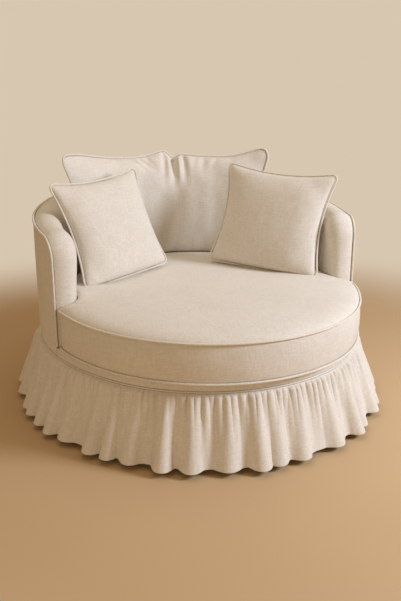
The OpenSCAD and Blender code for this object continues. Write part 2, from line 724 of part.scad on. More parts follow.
// Half the length of the cushion along its bend
backc_half = backc_span / 2 * PI / 180 * (back_r - wall_t - backc_in);
function spread(n) = [for (i = [0 : n]) sin(-90 + 180 * i / n)];
function backc_point(u, v, e, side) = let (
    su = u * (1 - e / backc_half), sv = v * (1 - e / (backc_h / 2)),
    half = (backc_t / 2 - rim) * puff(u, v) + rim - e * thinned
  ) backc_mid(su, sv) + backc_normal(su, sv) * half * side;
module backc_form(e, nu, nv) {
  loft([for (u = spread(nu)) concat(
    [for (v = spread(nv)) backc_point(u, v, e, 1)],
    [for (v = reversed(spread(nv))) backc_point(u, v, e, -1)]
  )]);
}
module back_cushion_insert() color(fibre) backc_form(cover_t + gap * 1.5, 20, 6);
module back_cushion_cover() color(linen) difference() {
  backc_form(0, 20, 10);
  backc_form(cover_t, 20, 6);
}
// Points round the edge of a square from -1 to 1, n to a side, pushed out by a share
function rim_uv(i, n) = let (s = floor(i / n), t = -1 + 2 * (i % n) / n)
  s == 0 ? [t, -1] : s == 1 ? [1, t] : s == 2 ? [-t, 1] : [-1, -t];
module backc_rim_tube(r, out, shift, from, to, sides, join) {
  n = 16;
  ku = 1 + out / backc_half;
  kv = 1 + out / (backc_h / 2);
  uv = [for (i = [from : to]) rim_uv(i, n)];
  tube([for (p = uv) backc_mid(p[0] * ku, p[1] * kv) + backc_normal(p[0], p[1]) * shift],
    [for (p = uv) backc_normal(p[0], p[1])], r, sides = sides, join = join);
}
module back_cushion_piping() color(linen) backc_rim_tube(cord_r, cord_r + gap * 2, 0, 0, 63, 6, true);
module back_cushion_zip() color(steel) backc_rim_tube(zip_r, zip_out, zip_back, 5, 11, 4, false);

// Loose pillows: knife-edged squares with drawn-in sides

function pillow_xz(u, v, w, h) = [
  w / 2 * u * (1 - pillow_pull * (1 - v * v)), h / 2 * v * (1 - pillow_pull * (1 - u * u))];
function pillow_y(u, v, e) = (pillow_t / 2 - rim) * puff(u, v) + rim - e * thinned;
function pillow_row(v, w, h, e, n) = [for (u = spread(n))
  let (p = pillow_xz(u, v, w - 2 * e, h - 2 * e)) [p[0], pillow_y(u, v, e), p[1]]];
function turned_over(row) = [for (p = reversed(row)) [p[0], -p[1], p[2]]];
module pillow_form(w, h, e, n) {
  loft([for (v = spread(n)) let (row = pillow_row(v, w, h, e, n)) concat(row, turned_over(row))]);
}
module pillow_rim_tube(w, h, r, out, shift, from, to, sides, join) {
  uv = [for (i = [from : to]) rim_uv(i, 12)];
  tube([for (q = uv) let (p = pillow_xz(q[0], q[1], w + 2 * out, h + 2 * out)) [p[0], shift, p[1]]],
    [for (q = uv) [0, 1, 0]], r, sides = sides, join = join);
}
module pillow_insert(w, h) pillow_form(w, h, cover_t + gap * 1.5, 8);
module pillow_cover(w, h) difference() {
  pillow_form(w, h, 0, 12);
  pillow_form(w, h, cover_t, 8);
}
module pillow_piping(w, h) pillow_rim_tube(w, h, cord_r, cord_r + gap * 2, 0, 0, 47, 6, true);
module pillow_zip(w, h) pillow_rim_tube(w, h, zip_r, zip_out, zip_back, 3, 9, 4, false);

// Each pillow: its middle in plan, from the barrel's centre, its turn, lean and tilt, and how
// much of the crown's height lies under its lowest corner
left_at = [-304.7, 93.2];
left_turn = 28.5;
left_lean = 23;
left_tilt = 3.9;
left_crown = 0.55;
right_at = [325, 18];
right_turn = -45.6;
right_lean = 20.9;
right_tilt = -3.3;
right_crown = 0.49;
// Height of a pillow's middle above its lowest corner
function pillow_up(w, h, lean, tilt) = cos(lean) * (h / 2 * cos(tilt) + w / 2 * sin(abs(tilt)));
module set_pillow(at, up, turn, lean, tilt) {
  translate([at[0], back_c + at[1], seat_high + cord_lift + up]) rotate(turn)
    rotate([-lean, 0, 0]) rotate([0, -tilt, 0]) children();
}
module on_left() set_pillow(
  left_at, left_crown * seat_crown + pillow_up(pillow_l_w, pillow_l_h, left_lean, left_tilt),
  left_turn, left_lean, left_tilt
) children();
module on_right() set_pillow(
  right_at, right_crown * seat_crown + pillow_up(pillow_r_w, pillow_r_h, right_lean, right_tilt),
  right_turn, right_lean, right_tilt
) children();
module left_pillow_insert() color(fibre) on_left() pillow_insert(pillow_l_w, pillow_l_h);
module left_pillow_cover() color(linen) on_left() pillow_cover(pillow_l_w, pillow_l_h);
module left_pillow_piping() color(linen) on_left() pillow_piping(pillow_l_w, pillow_l_h);
module left_pillow_zip() color(steel) on_left() pillow_zip(pillow_l_w, pillow_l_h);
module right_pillow_insert() color(fibre) on_right() pillow_insert(pillow_r_w, pillow_r_h);
module right_pillow_cover() color(linen) on_right() pillow_cover(pillow_r_w, pillow_r_h);
module right_pillow_piping() color(linen) on_right() pillow_piping(pillow_r_w, pillow_r_h);
module right_pillow_zip() color(steel) on_right() pillow_zip(pillow_r_w, pillow_r_h);

floor_glides();
floor_ring();
cross_bar_lower();
cross_bar_upper();
swivel_lower_plate();
lower_plate_screws();
bearing_balls();
ball_cage();
pivot_rivet();
swivel_upper_plate();
upper_plate_bolts();
bearers();
bearer_screws();
bottom_ring();
frame_studs();
seat_ring();
webbing_lengthways();
webbing_crossways();
back_posts();
top_rail();
arm_front_stiles();
outer_board();
front_board();
inner_board();
wall_foam();
inside_cover();
outside_wadding();
outside_cover();
wall_piping();
front_wadding();
border_band();
border_welt();
skirt_tape();
skirt();
deck_pad();
deck_cloth();
dust_cover();
seat_core();
seat_wrap();
seat_cover();
seat_piping_upper();
seat_piping_lower();
seat_zip();
back_cushion_insert();
back_cushion_cover();
back_cushion_piping();
back_cushion_zip();
left_pillow_insert();
left_pillow_cover();
left_pillow_piping();
left_pillow_zip();
right_pillow_insert();
right_pillow_cover();
right_pillow_piping();
right_pillow_zip();
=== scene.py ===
"""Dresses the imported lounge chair: covers, cushions, pillows, skirt, finishes and studio."""

import math

import bmesh
import bpy
import numpy as np
from bpy.props import FloatProperty, FloatVectorProperty, IntProperty, PointerProperty
from mathutils import Matrix, Vector


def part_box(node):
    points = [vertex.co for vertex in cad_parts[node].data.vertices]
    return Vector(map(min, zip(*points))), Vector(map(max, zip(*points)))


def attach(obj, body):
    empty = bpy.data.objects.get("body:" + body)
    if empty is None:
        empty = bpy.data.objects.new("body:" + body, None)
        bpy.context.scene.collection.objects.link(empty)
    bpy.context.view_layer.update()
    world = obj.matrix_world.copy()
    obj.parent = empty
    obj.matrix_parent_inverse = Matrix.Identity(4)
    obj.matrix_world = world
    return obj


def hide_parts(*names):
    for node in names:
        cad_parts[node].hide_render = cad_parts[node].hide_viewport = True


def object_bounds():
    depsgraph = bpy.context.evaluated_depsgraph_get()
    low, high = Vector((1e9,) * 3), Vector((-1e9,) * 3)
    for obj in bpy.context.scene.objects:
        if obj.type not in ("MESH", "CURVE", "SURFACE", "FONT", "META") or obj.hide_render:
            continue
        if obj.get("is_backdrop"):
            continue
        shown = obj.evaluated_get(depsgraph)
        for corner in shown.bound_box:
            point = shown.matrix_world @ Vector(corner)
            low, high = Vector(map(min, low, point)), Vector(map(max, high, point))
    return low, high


bl_info = {
    "name": "Round lounge chair",
    "version": (1, 0, 0),
    "blender": (4, 5, 0),
    "location": "3D View > Sidebar > Lounge chair",
    "description": "Covers, cushions, pillows and gathered skirt of a round swivel lounge chair",
    "category": "Object",
}

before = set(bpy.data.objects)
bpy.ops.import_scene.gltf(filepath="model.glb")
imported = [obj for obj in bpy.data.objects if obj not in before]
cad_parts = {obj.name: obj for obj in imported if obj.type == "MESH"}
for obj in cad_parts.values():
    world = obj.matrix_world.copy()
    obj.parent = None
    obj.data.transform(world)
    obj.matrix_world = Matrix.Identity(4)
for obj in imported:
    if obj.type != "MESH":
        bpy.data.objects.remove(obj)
cad_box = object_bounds()


# Sizes and colours that a user would change


def length(name, description, default):
    return FloatProperty(
        name=name, description=description, default=default, unit="LENGTH", precision=4
    )


def turn(name, description, default):
    return FloatProperty(
        name=name, description=description, default=math.radians(default), unit="ROTATION"
    )


def share(name, description, default):
    return FloatProperty(
        name=name, description=description, default=default, subtype="FACTOR", min=0, max=1
    )


def linear(text):
    """A colour written in sRGB hex, as linear red, green and blue."""
    values = [int(text[i : i + 2], 16) / 255 for i in (1, 3, 5)]
    return [v / 12.92 if v <= 0.04045 else ((v + 0.055) / 1.055) ** 2.4 for v in values]


def colour(name, description, default):
    return FloatVectorProperty(
        name=name,
        description=description,
        default=linear(default),
        subtype="COLOR",
        min=0,
        max=1,
    )


class BarrelSizes(bpy.types.PropertyGroup):
    """Plan and wall of the barrel."""

    back_r: length("Back radius", "Radius of the half circle behind", 0.6)
    front_reach: length("Front reach", "From the half circle's centre to the front", 0.68)
    front_r: length("Front radius", "Radius of the arc across the front", 0.552)
    wall_t: length("Wall", "Thickness of the padded wall", 0.105)
    arm_front: length("Arm front", "How far the arms reach ahead of the half circle", 0.21)
    arm_h: length("Arm height", "Height of the wall's edge at the arm fronts", 0.652)
    back_h: length("Back height", "Height of the wall's edge at the back", 0.74)
    corner_r: length("Corner", "Radius of the arm's upper front corner", 0.075)
    roll_rise: length("Roll rise", "How far the padded roll stands above the edge", 0.016)
    roll_depth: length("Roll depth", "How far down the roll reaches inside", 0.048)
    nose_depth: length("Nose depth", "How far back each arm's padded front rounds inside", 0.092)
    piping_r: length("Piping", "Radius of the piping on the wall's edge", 0.004)
    cover_t: length("Cover", "Thickness of an upholstery cover", 0.003)
    ease: length("Ease", "Room between one layer and the next", 0.0004)


class SkirtSizes(bpy.types.PropertyGroup):
    """Gathered skirt and the border above it."""

    seam_h: length("Seam height", "Height of the seam that the skirt hangs from", 0.243)
    hem_h: length("Hem height", "Height of the hem above the floor", 0.02)
    flare: length("Flare", "How much wider the hem is than the seam, each side", 0.066)
    welt_r: length("Welt", "Radius of the welt at the skirt's seam", 0.003)
    tucks: IntProperty(name="Tucks", description="Small gathers round the heading", default=176)
    tuck_depth: length("Tuck depth", "Depth of the small gathers, valley to ridge", 0.0125)
    fold_depth: length("Fold depth", "Depth of a main fold at the hem, valley to ridge", 0.036)
    cloth_t: length("Cloth", "Thickness of the skirt's cloth", 0.0018)
    cloth_w: length("Gathered width", "Width of the strip before it was gathered", 5.6)


class SeatSizes(bpy.types.PropertyGroup):
    """Seat cushion."""

    width: length("Width", "Across the seam, at the ears", 1.114)
    front_l: length("Front", "Depth of the rounded front", 0.58)
    reach: length("Reach", "From the half circle's centre to the cushion's front", 0.704)
    low: length("Foot", "Height of the lower face", 0.2764)
    seam: length("Seam", "Height of the upper seam", 0.41)
    crown: length("Crown", "Rise of the upper face above its seam", 0.036)
    boxing_out: length("Boxing", "How far the boxing stands proud", 0.007)
    inset: length("Back inset", "From the barrel's outside to the cushion's seam", 0.1174)
    ear_rise: length("Ear rise", "How much higher the seam stands at the ears", 0.006)
    ear_out: length("Ear spread", "How much further out the ears reach at their tips", 0.008)


class BackSizes(bpy.types.PropertyGroup):
    """Back cushion."""

    height: length("Height", "Height of the cushion along its face", 0.424)
    thick: length("Thickness", "Thickness at the middle", 0.108)
    radius: length("Bend", "Radius of its middle surface at the foot", 0.426)
    span: turn("Span", "Turn that the cushion goes round the barrel", 122)
    aside: turn("Set round", "How far its middle stands round to the left", 4)
    lean: length("Lean", "How far the upper edge leans back", 0.022)
    ear: length("Ears", "How far the upper corners spread", 0.064)
    middle_z: length("Middle height", "Height of its middle above the floor", 0.654)
    sink: length("Sink", "How far its lower edge presses into the seat", 0.006)
    cord_r: length("Piping", "Radius of a cushion's piping", 0.0035)


class PillowSizes(bpy.types.PropertyGroup):
    """The two loose pillows."""

    left_w: length("Left width", "Width across the left pillow's corners", 0.416)
    left_h: length("Left height", "Height across the left pillow's corners", 0.396)
    right_w: length("Right width", "Width across the right pillow's corners", 0.458)
    right_h: length("Right height", "Height across the right pillow's corners", 0.402)
    thick: length("Thickness", "Thickness at the middle", 0.13)
    pull: share("Drawn in", "How far the sides are drawn in between the corners", 0.07)


class Colours(bpy.types.PropertyGroup):
    """Finishes."""

    linen: colour("Linen", "The cream linen of all covers", "#EAE3D8")
    linen_shade: colour("Linen shade", "The darker threads of the linen", "#D5CAB8")
    dark_cloth: colour("Dark cloth", "Deck cloth and dust cover", "#2B2B2D")
    jute: colour("Jute", "Webbing", "#B79E78")
    fibre: colour("Fibre", "Polyester wadding", "#F2F0EA")
    foam: colour("Foam", "Cushion foam", "#EADFAE")
    ply: colour("Plywood", "Birch plywood", "#CDAE80")
    hardwood: colour("Hardwood", "Beech rails", "#BC9465")
    steel: colour("Steel", "Zinc-plated steel", "#A3A8AC")
    board: colour("Board", "Pressed board panels", "#A98F6B")
    floor: colour("Floor", "Studio floor", "#CAAA80")
    backdrop: colour("Backdrop", "What is seen beyond the floor", "#D8C7B0")


GROUPS = {
    "lounge_barrel": BarrelSizes,
    "lounge_skirt": SkirtSizes,
    "lounge_seat": SeatSizes,
    "lounge_back": BackSizes,
    "lounge_pillows": PillowSizes,
    "lounge_colours": Colours,
}


def sizes(name):
    return getattr(bpy.context.scene, "lounge_" + name)


# Shapes


def unit(v):
    return v / np.maximum(np.linalg.norm(v, axis=-1, keepdims=True), 1e-12)


def eased_step(k):
    """From 0 to 1 as k goes from 0 to 1, level at both ends."""
    k = np.clip(k, 0, 1)
    return k * k * (3 - 2 * k)


class Plan:
    """Outline of the barrel: a half circle behind, a side arc and a front arc ahead."""

    def __init__(self, b):
        self.back_r, self.front_r = b.back_r, b.front_r
        self.back_c = (b.front_reach - b.back_r) / 2
        self.front_cy = b.front_reach - b.front_r
        self.side_r = (b.back_r**2 + self.front_cy**2 - b.front_r**2) / (
            2 * (b.back_r - b.front_r)
        )
        self.side_cx = self.side_r - b.back_r
        self.handover = math.atan2(self.front_cy, self.side_cx)
        self.side_run = self.side_r * self.handover
        self.per_m = 90 / (self.side_run + b.front_r * (math.pi / 2 - self.handover))
        self.arm_a = self.angle_ahead(b.arm_front, 0)

    def angle_ahead(self, ahead, inset):
        return -self.per_m * self.side_r * math.asin(ahead / (self.side_r - inset))

    def at(self, a, inset):
        """Points of the outline at plan angles, in degrees, so far in from it."""
        a, inset = np.broadcast_arrays(np.asarray(a, float), np.asarray(inset, float))
        b = np.where(a <= 90, a, 180 - a)
        run = np.maximum(-b, 0) / self.per_m
        side = run < self.side_run
        ahead = np.where(
            side, run / self.side_r, self.handover + (run - self.side_run) / self.front_r
        )
        behind = b >= 0
        angle = np.where(behind, np.radians(b), -ahead)
        radius = np.where(behind, self.back_r, np.where(side, self.side_r, self.front_r))
        cx = np.where(~behind & side, -self.side_cx, 0)
        cy = self.back_c - np.where(~behind & ~side, self.front_cy, 0)
        x = cx + (radius - inset) * np.cos(angle)
        return np.stack(
            [np.where(a <= 90, x, -x), cy + (radius - inset) * np.sin(angle)], -1
        )

    def outward(self, a):
        return unit(self.at(a, 0) - self.at(a, 0.01))


class Wall:
    """The barrel's wall: its upper edge, its corner at each arm front and its padded roll."""

    # Degrees of plan angle between two stations of the top, for each metre of their step
    turn_per_m = 100
    # Height below the corner over which the roll grows to the nose's depth
    nose_run = 0.15
    # The roll's outer side: its drop, and how far past the outside its round would end
    outer_drop, outer_spread = 0.028, 0.008
    # How much further than the nose's depth the feet of the arm's front fan out
    foot_ease = 0.014
    # Rows of points up the inside face
    face_rows = 18
    # The inside face swells above the seat: from this height, over this rise, this far
    swell_from, swell_run, swell_out = 0.43, 0.12, 0.003

    def __init__(self, b, plan):
        self.b, self.plan = b, plan
        self.arm_y = plan.back_c - b.arm_front
        self.slope = (b.back_h - b.arm_h) / (b.back_r + b.arm_front)
        self.corner_z = self.top_at(self.arm_y + b.corner_r) - b.corner_r
        self.corner_a = plan.arm_a + b.corner_r * plan.per_m

    def top_at(self, y):
        return self.b.arm_h + (y - self.arm_y) * self.slope

    def edge(self, low, step, turns):
        """Stations along the right half of the edge: plan angle, height, turn of the edge."""
        rise = np.arange(low, self.corner_z - step / 2, step)
        front = np.stack([np.full(rise.size, self.plan.arm_a), rise, 0 * rise], -1)
        q = np.linspace(0, 90, turns)
        a = self.plan.arm_a + self.b.corner_r * (1 - np.cos(np.radians(q))) * self.plan.per_m
        z = self.corner_z + self.b.corner_r * np.sin(np.radians(q))
        corner = np.stack([a, z, q], -1)
        count = 1 + round((90 - self.corner_a) / (step * self.turn_per_m))
        a = np.linspace(self.corner_a, 90, count)[1:]
        top = np.stack([a, self.top_at(self.plan.at(a, 0)[:, 1]), 0 * a + 90], -1)
        return np.concatenate([front, corner, top])

    def at(self, edge, w, d):
        """Points at inset w and d down from the edge, for every station."""
        q = np.radians(edge[:, 2])[:, None]
        w, d = np.broadcast_arrays(w, d)
        p = self.plan.at(edge[:, :1] + d * np.cos(q) * self.plan.per_m, w)
        return np.concatenate([p, (edge[:, 1:2] - d * np.sin(q))[..., None]], -1)

    def depth(self, z):
        """Depth of the roll on the inside: greater on the plumb front, below the corner."""
        return self.b.roll_depth + (self.b.nose_depth - self.b.roll_depth) * eased_step(
            (self.corner_z - z) / self.nose_run
        )

    def roll(self, edge, turns, e):
        """Points of the padded roll at every station and turn of its profile, e in from it."""
        b, q, crest = self.b, np.radians(turns)[None, :], self.b.wall_t / 2
        deep = self.depth(edge[:, 1:2])
        inner, drop = turns[None, :] <= 90, self.outer_drop
        half = np.where(inner, b.wall_t - crest - e, crest + self.outer_spread - e)
        w = crest + half * np.cos(q)
        d = np.where(
            inner,
            deep - (deep + b.roll_rise - e) * np.sin(q),
            drop - (drop + b.roll_rise - e) * np.sin(q),
        )
        return self.at(edge, w, d)

    def foot_angles(self, edge):
        """Where each station's foot stands: the arm front's feet fan out over the arm."""
        start = self.plan.arm_a + (self.b.nose_depth + self.foot_ease) * self.plan.per_m
        p = self.at(edge, 0, 0)[:, 0]
        run = np.concatenate([[0], np.cumsum(np.linalg.norm(np.diff(p, axis=0), axis=1))])
        full = run[np.argmin(np.abs(edge[:, 0]))]
        return np.where(run < full, start - start * run / full, edge[:, 0])

    def foot(self, edge, w, z):
        """Where each station's foot stands, at inset w and height z."""
        p = self.plan.at(self.foot_angles(edge), w)
        return np.concatenate([p, np.full((len(p), 1), z)], 1)


def padded_layer(wall, edge, turns, low, e):
    """The right half of the padded wall's inner face and roll, so far in from it."""
    roll = wall.roll(edge, turns, e)
    foot = wall.foot(edge, wall.b.wall_t - e, low)
    up = np.linspace(0, 1, wall.face_rows)[None, :-1, None]
    rise = foot[:, None] * (1 - up) + roll[:, :1] * up
    outer = wall.foot(edge, 0, low)
    inward = unit((foot - outer) * [1, 1, 0])
    swell = eased_step((rise[..., 2:] - wall.swell_from) / wall.swell_run) * np.sin(np.pi * up)
    return np.concatenate([rise + inward[:, None] * swell * wall.swell_out, roll], 1)


def mirrored(rows):
    """Rows of the right half, then the same rows of the left half coming back."""
    left = rows[-2::-1].copy()
    left[..., 0] *= -1
    return np.concatenate([rows, left])


def lengths(points, axis):
    """Distances run along one axis of a grid of points."""
    step = np.linalg.norm(np.diff(points, axis=axis), axis=-1)
    start = np.zeros_like(np.take(step, [0], axis=axis))
    return np.concatenate([start, np.cumsum(step, axis=axis)], axis=axis)


def cloth_uv(points):
    """Distances along and across a grid of points, in metres, for the weave to follow."""
    along = lengths(points, 0).mean(1, keepdims=True)
    across = lengths(points, 1)
    return np.stack([np.broadcast_to(along, across.shape), across], -1)


def grid(name, rows, around=False, along=False, uv=None):
    """A closed mesh through rows of points: around closes each row, along joins the last row
    to the first. Rows that aren't joined are closed as the ends of a strip, and rows of equal
    points become a pole."""
    rows = np.asarray(rows, float)
    n, m = rows.shape[:2]
    i, j = np.meshgrid(
        np.arange(n if along else n - 1), np.arange(m if around else m - 1), indexing="ij"
    )
    corners = [(i, j), (i + 1, j), (i + 1, j + 1), (i, j + 1)]
    faces = np.stack([p % n * m + q % m for p, q in corners], -1).reshape(-1, 4)
    if uv is None:
        full = np.concatenate([rows, rows[:1]]) if along else rows
        full = np.concatenate([full, full[:, :1]], 1) if around else full
        uv = cloth_uv(full)
    wide = uv.shape[1]
    uv_at = np.stack([p * wide + q for p, q in corners], -1).reshape(-1, 4)
    if around and not along:
        k = np.arange(m // 2 - 1)
        cap = np.stack([k, k + 1, m - 2 - k, m - 1 - k], -1)
        last = (n - 1) * m + cap[:, ::-1]
        faces = np.concatenate([faces, cap, last])
        uv_at = np.concatenate([uv_at, cap, (n - 1) * wide + cap[:, ::-1]])
    mesh = bpy.data.meshes.new(name)
    mesh.from_pydata(rows.reshape(-1, 3).tolist(), [], faces.tolist())
    layer = mesh.uv_layers.new(name="UVMap")
    layer.data.foreach_set("uv", uv.reshape(-1, 2)[uv_at].astype(np.float32).ravel())
    return welded(mesh)


def at_height(points, z):
    """Plan points, with a height or heights given to them."""
    z = np.broadcast_to(z, points.shape[:-1])
    return np.concatenate([points, z[..., None]], -1)


def length_of(line):
    return np.linalg.norm(np.diff(line, axis=0), axis=1).sum()


def points_of(mesh):
    co = np.zeros(len(mesh.vertices) * 3, np.float32)
    mesh.vertices.foreach_get("co", co)
    return co.reshape(-1, 3).astype(float)


def welded(mesh):
    """Merges points that lie together, drops faces with no area and turns faces outwards."""
    bm = bmesh.new()
    bm.from_mesh(mesh)
    bmesh.ops.remove_doubles(bm, verts=bm.verts, dist=2e-6)
    bmesh.ops.dissolve_degenerate(bm, edges=bm.edges, dist=1e-6)
    if bm.calc_volume(signed=True) < 0:
        bmesh.ops.reverse_faces(bm, faces=bm.faces)
    bm.to_mesh(mesh)
    bm.free()
    mesh.shade_smooth()
    return mesh


def strip(name, outside, inside, along=False):
    """A closed sheet between two grids of points."""
    rows = np.concatenate([outside, inside[:, ::-1]], 1)
    return grid(name, rows, around=True, along=along)


def place(name, mesh, material, body, slot, *nodes):
    """Puts a finished mesh in the scene as a piece that rides on a body."""
    made = bpy.data.objects.new(name, mesh)
    bpy.context.collection.objects.link(made)
    mesh.materials.clear()
    mesh.materials.append(material)
    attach(made, body)
    if nodes:
        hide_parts(*nodes)
    return made


def wavering(count, low, high, seed):
    """Smooth noise round a closed line, of so many waves a turn, about 1 high."""
    random = np.random.default_rng(seed)
    t = np.arange(count) / count * 2 * np.pi
    waves = np.arange(low, high + 1)
    phase = random.uniform(0, 2 * np.pi, waves.size)
    size = random.uniform(0.4, 1, waves.size)
    total = (size[:, None] * np.cos(waves[:, None] * t + phase[:, None])).sum(0)
    return total / np.abs(total).max()


# Repeated things, by Geometry Nodes


def add_node(tree, kind, inputs=None, **settings):
    """Adds a node; inputs are values or other nodes' outputs, by the socket's name or number."""
    made = tree.nodes.new(kind)
    for name, value in settings.items():
        setattr(made, name, value)
    for key, value in (inputs or {}).items():
        if isinstance(value, bpy.types.NodeSocket):
            tree.links.new(value, made.inputs[key])
        else:
            made.inputs[key].default_value = value
    return made


def new_geometry_tree(name, values):
    """An empty Geometry Nodes tree with named inputs."""
    tree = bpy.data.node_groups.new(name, "GeometryNodeTree")
    tree.interface.new_socket("Path", in_out="INPUT", socket_type="NodeSocketGeometry")
    for key, kind in values.items():
        tree.interface.new_socket(key, in_out="INPUT", socket_type=kind)
    tree.interface.new_socket("Geometry", in_out="OUTPUT", socket_type="NodeSocketGeometry")
    return tree, tree.nodes.new("NodeGroupInput")


def end_geometry_tree(tree, geometry, material, rounded=True):
    real = add_node(tree, "GeometryNodeRealizeInstances", {"Geometry": geometry})
    finish = add_node(
        tree, "GeometryNodeSetMaterial", {"Geometry": real.outputs[0], "Material": material}
    )
    smooth = add_node(
        tree, "GeometryNodeSetShadeSmooth",
        {"Geometry": finish.outputs[0], "Shade Smooth": rounded},
    )
    add_node(tree, "NodeGroupOutput", {0: smooth.outputs[0]})


def swept(tree, given, profile, level):
    """Adds the nodes that draw a profile along a path and keep its length and girth for the
    weave; a level profile stays upright. Returns the path's curve and the mesh."""
    path = add_node(tree, "GeometryNodeMeshToCurve", {"Mesh": given.outputs["Path"]}).outputs[0]
    if level:
        path = add_node(
            tree, "GeometryNodeSetCurveNormal", {"Curve": path}, mode="Z_UP"
        ).outputs[0]
    kept = []
    for curve, name in ((path, "run"), (profile, "girth")):
        reached = add_node(tree, "GeometryNodeSplineParameter").outputs["Length"]
        kept.append(add_node(
            tree, "GeometryNodeStoreNamedAttribute",
            {"Geometry": curve, "Name": name, "Value": reached},
            data_type="FLOAT", domain="POINT",
        ).outputs[0])
    tube = add_node(
        tree, "GeometryNodeCurveToMesh",
        {"Curve": kept[0], "Profile Curve": kept[1], "Fill Caps": True},
    )
    run, girth = (
        add_node(tree, "GeometryNodeInputNamedAttribute", {"Name": name}).outputs[0]
        for name in ("run", "girth")
    )
    both = add_node(tree, "ShaderNodeCombineXYZ", {"X": run, "Y": girth})
    mapped = add_node(
        tree, "GeometryNodeStoreNamedAttribute",
        {"Geometry": tube.outputs[0], "Name": "UVMap", "Value": both.outputs[0]},
        data_type="FLOAT2", domain="CORNER",
    )
    return path, mapped.outputs[0]


def piping_tree():
    """A round cord along a path."""
    if "Piping" in bpy.data.node_groups:
        return bpy.data.node_groups["Piping"]
    tree, given = new_geometry_tree(
        "Piping",
        {"Radius": "NodeSocketFloat", "Sides": "NodeSocketInt", "Material": "NodeSocketMaterial"},
    )
    ring = add_node(
        tree, "GeometryNodeCurvePrimitiveCircle",
        {"Resolution": given.outputs["Sides"], "Radius": given.outputs["Radius"]},
    )
    end_geometry_tree(
        tree, swept(tree, given, ring.outputs[0], False)[1], given.outputs["Material"]
    )
    return tree


def strap_tree():
    """Flat woven straps along the lines of a path."""
    if "Straps" in bpy.data.node_groups:
        return bpy.data.node_groups["Straps"]
    tree, given = new_geometry_tree(
        "Straps",
        {"Across": "NodeSocketFloat", "Up": "NodeSocketFloat", "Material": "NodeSocketMaterial"},
    )
    flat = add_node(
        tree, "GeometryNodeCurvePrimitiveQuadrilateral",
        {"Width": given.outputs["Across"], "Height": given.outputs["Up"]},
    )
    end_geometry_tree(
        tree, swept(tree, given, flat.outputs[0], True)[1], given.outputs["Material"], False
    )
    return tree


def zip_tree():
    """A woven tape along a path, with a row of moulded teeth on it."""
    if "Zip" in bpy.data.node_groups:
        return bpy.data.node_groups["Zip"]
    tree, given = new_geometry_tree(
        "Zip",
        {
            "Across": "NodeSocketFloat",
            "Up": "NodeSocketFloat",
            "Pitch": "NodeSocketFloat",
            "Tooth": "NodeSocketVector",
            "Material": "NodeSocketMaterial",
        },
    )
    flat = add_node(
        tree, "GeometryNodeCurvePrimitiveQuadrilateral",
        {"Width": given.outputs["Across"], "Height": given.outputs["Up"]},
    )
    path, tape = swept(tree, given, flat.outputs[0], True)
    points = add_node(
        tree, "GeometryNodeCurveToPoints", {"Curve": path, "Length": given.outputs["Pitch"]},
        mode="LENGTH",
    )
    tooth = add_node(tree, "GeometryNodeMeshCube", {"Size": given.outputs["Tooth"]})
    teeth = add_node(
        tree, "GeometryNodeInstanceOnPoints",
        {
            "Points": points.outputs["Points"],
            "Instance": tooth.outputs["Mesh"],
            "Rotation": points.outputs["Rotation"],
        },
    )
    both = add_node(tree, "GeometryNodeJoinGeometry")
    tree.links.new(teeth.outputs[0], both.inputs[0])
    tree.links.new(tape, both.inputs[0])
    end_geometry_tree(tree, both.outputs[0], given.outputs["Material"], False)
    return tree


def stitch_tree():
    """Short rounded stitches along a path, a pitch apart."""
    if "Stitches" in bpy.data.node_groups:
        return bpy.data.node_groups["Stitches"]
    tree, given = new_geometry_tree(
        "Stitches",
        {
            "Pitch": "NodeSocketFloat",
            "Stitch": "NodeSocketFloat",
            "Thread": "NodeSocketFloat",
            "Material": "NodeSocketMaterial",
        },
    )
    path = add_node(tree, "GeometryNodeMeshToCurve", {"Mesh": given.outputs["Path"]})
    points = add_node(
        tree, "GeometryNodeCurveToPoints",
        {"Curve": path.outputs[0], "Length": given.outputs["Pitch"]}, mode="LENGTH",
    )
    bead = add_node(
        tree, "GeometryNodeMeshUVSphere", {"Segments": 6, "Rings": 5, "Radius": 1.0}
    )
    size = add_node(
        tree, "ShaderNodeCombineXYZ",
        {
            "X": given.outputs["Thread"],
            "Y": given.outputs["Thread"],
            "Z": given.outputs["Stitch"],
        },
    )
    placed = add_node(
        tree, "GeometryNodeInstanceOnPoints",
        {
            "Points": points.outputs["Points"],
            "Instance": bead.outputs["Mesh"],
            "Rotation": points.outputs["Rotation"],
            "Scale": size.outputs[0],
        },
    )
    end_geometry_tree(tree, placed.outputs[0], given.outputs["Material"])
    return tree


def grown_along(name, tree, paths, closed, values):
    """The plain mesh that a Geometry Nodes tree makes along one or more lines of points."""
    edges, points = [], []
    for path in paths:
        first, n = len(points), len(path)
        edges += [(first + i, first + i + 1) for i in range(n - 1)]
        edges += [(first + n - 1, first)] if closed else []
        points += [tuple(q) for q in path]
    line = bpy.data.meshes.new(name)
    line.from_pydata(points, edges, [])
    holder = bpy.data.objects.new(name, line)
    bpy.context.collection.objects.link(holder)
    modifier = holder.modifiers.new("Grow", "NODES")
    modifier.node_group = tree
    sockets = {
        s.name: s.identifier for s in tree.interface.items_tree if s.in_out == "INPUT"
    }
    for key, value in values.items():
        modifier[sockets[key]] = value
    graph = bpy.context.evaluated_depsgraph_get()
    mesh = bpy.data.meshes.new_from_object(holder.evaluated_get(graph), depsgraph=graph)
    mesh.name = name
    holder.modifiers.clear()
    bpy.data.objects.remove(holder)
    bpy.data.meshes.remove(line)
    return mesh


def piping(name, path, closed, radius, material, body, slot, *nodes, sides=12):
    values = {"Radius": radius, "Sides": sides, "Material": material}
    mesh = grown_along(name, piping_tree(), [path], closed, values)
    return place(name, mesh, material, body, slot, *nodes)


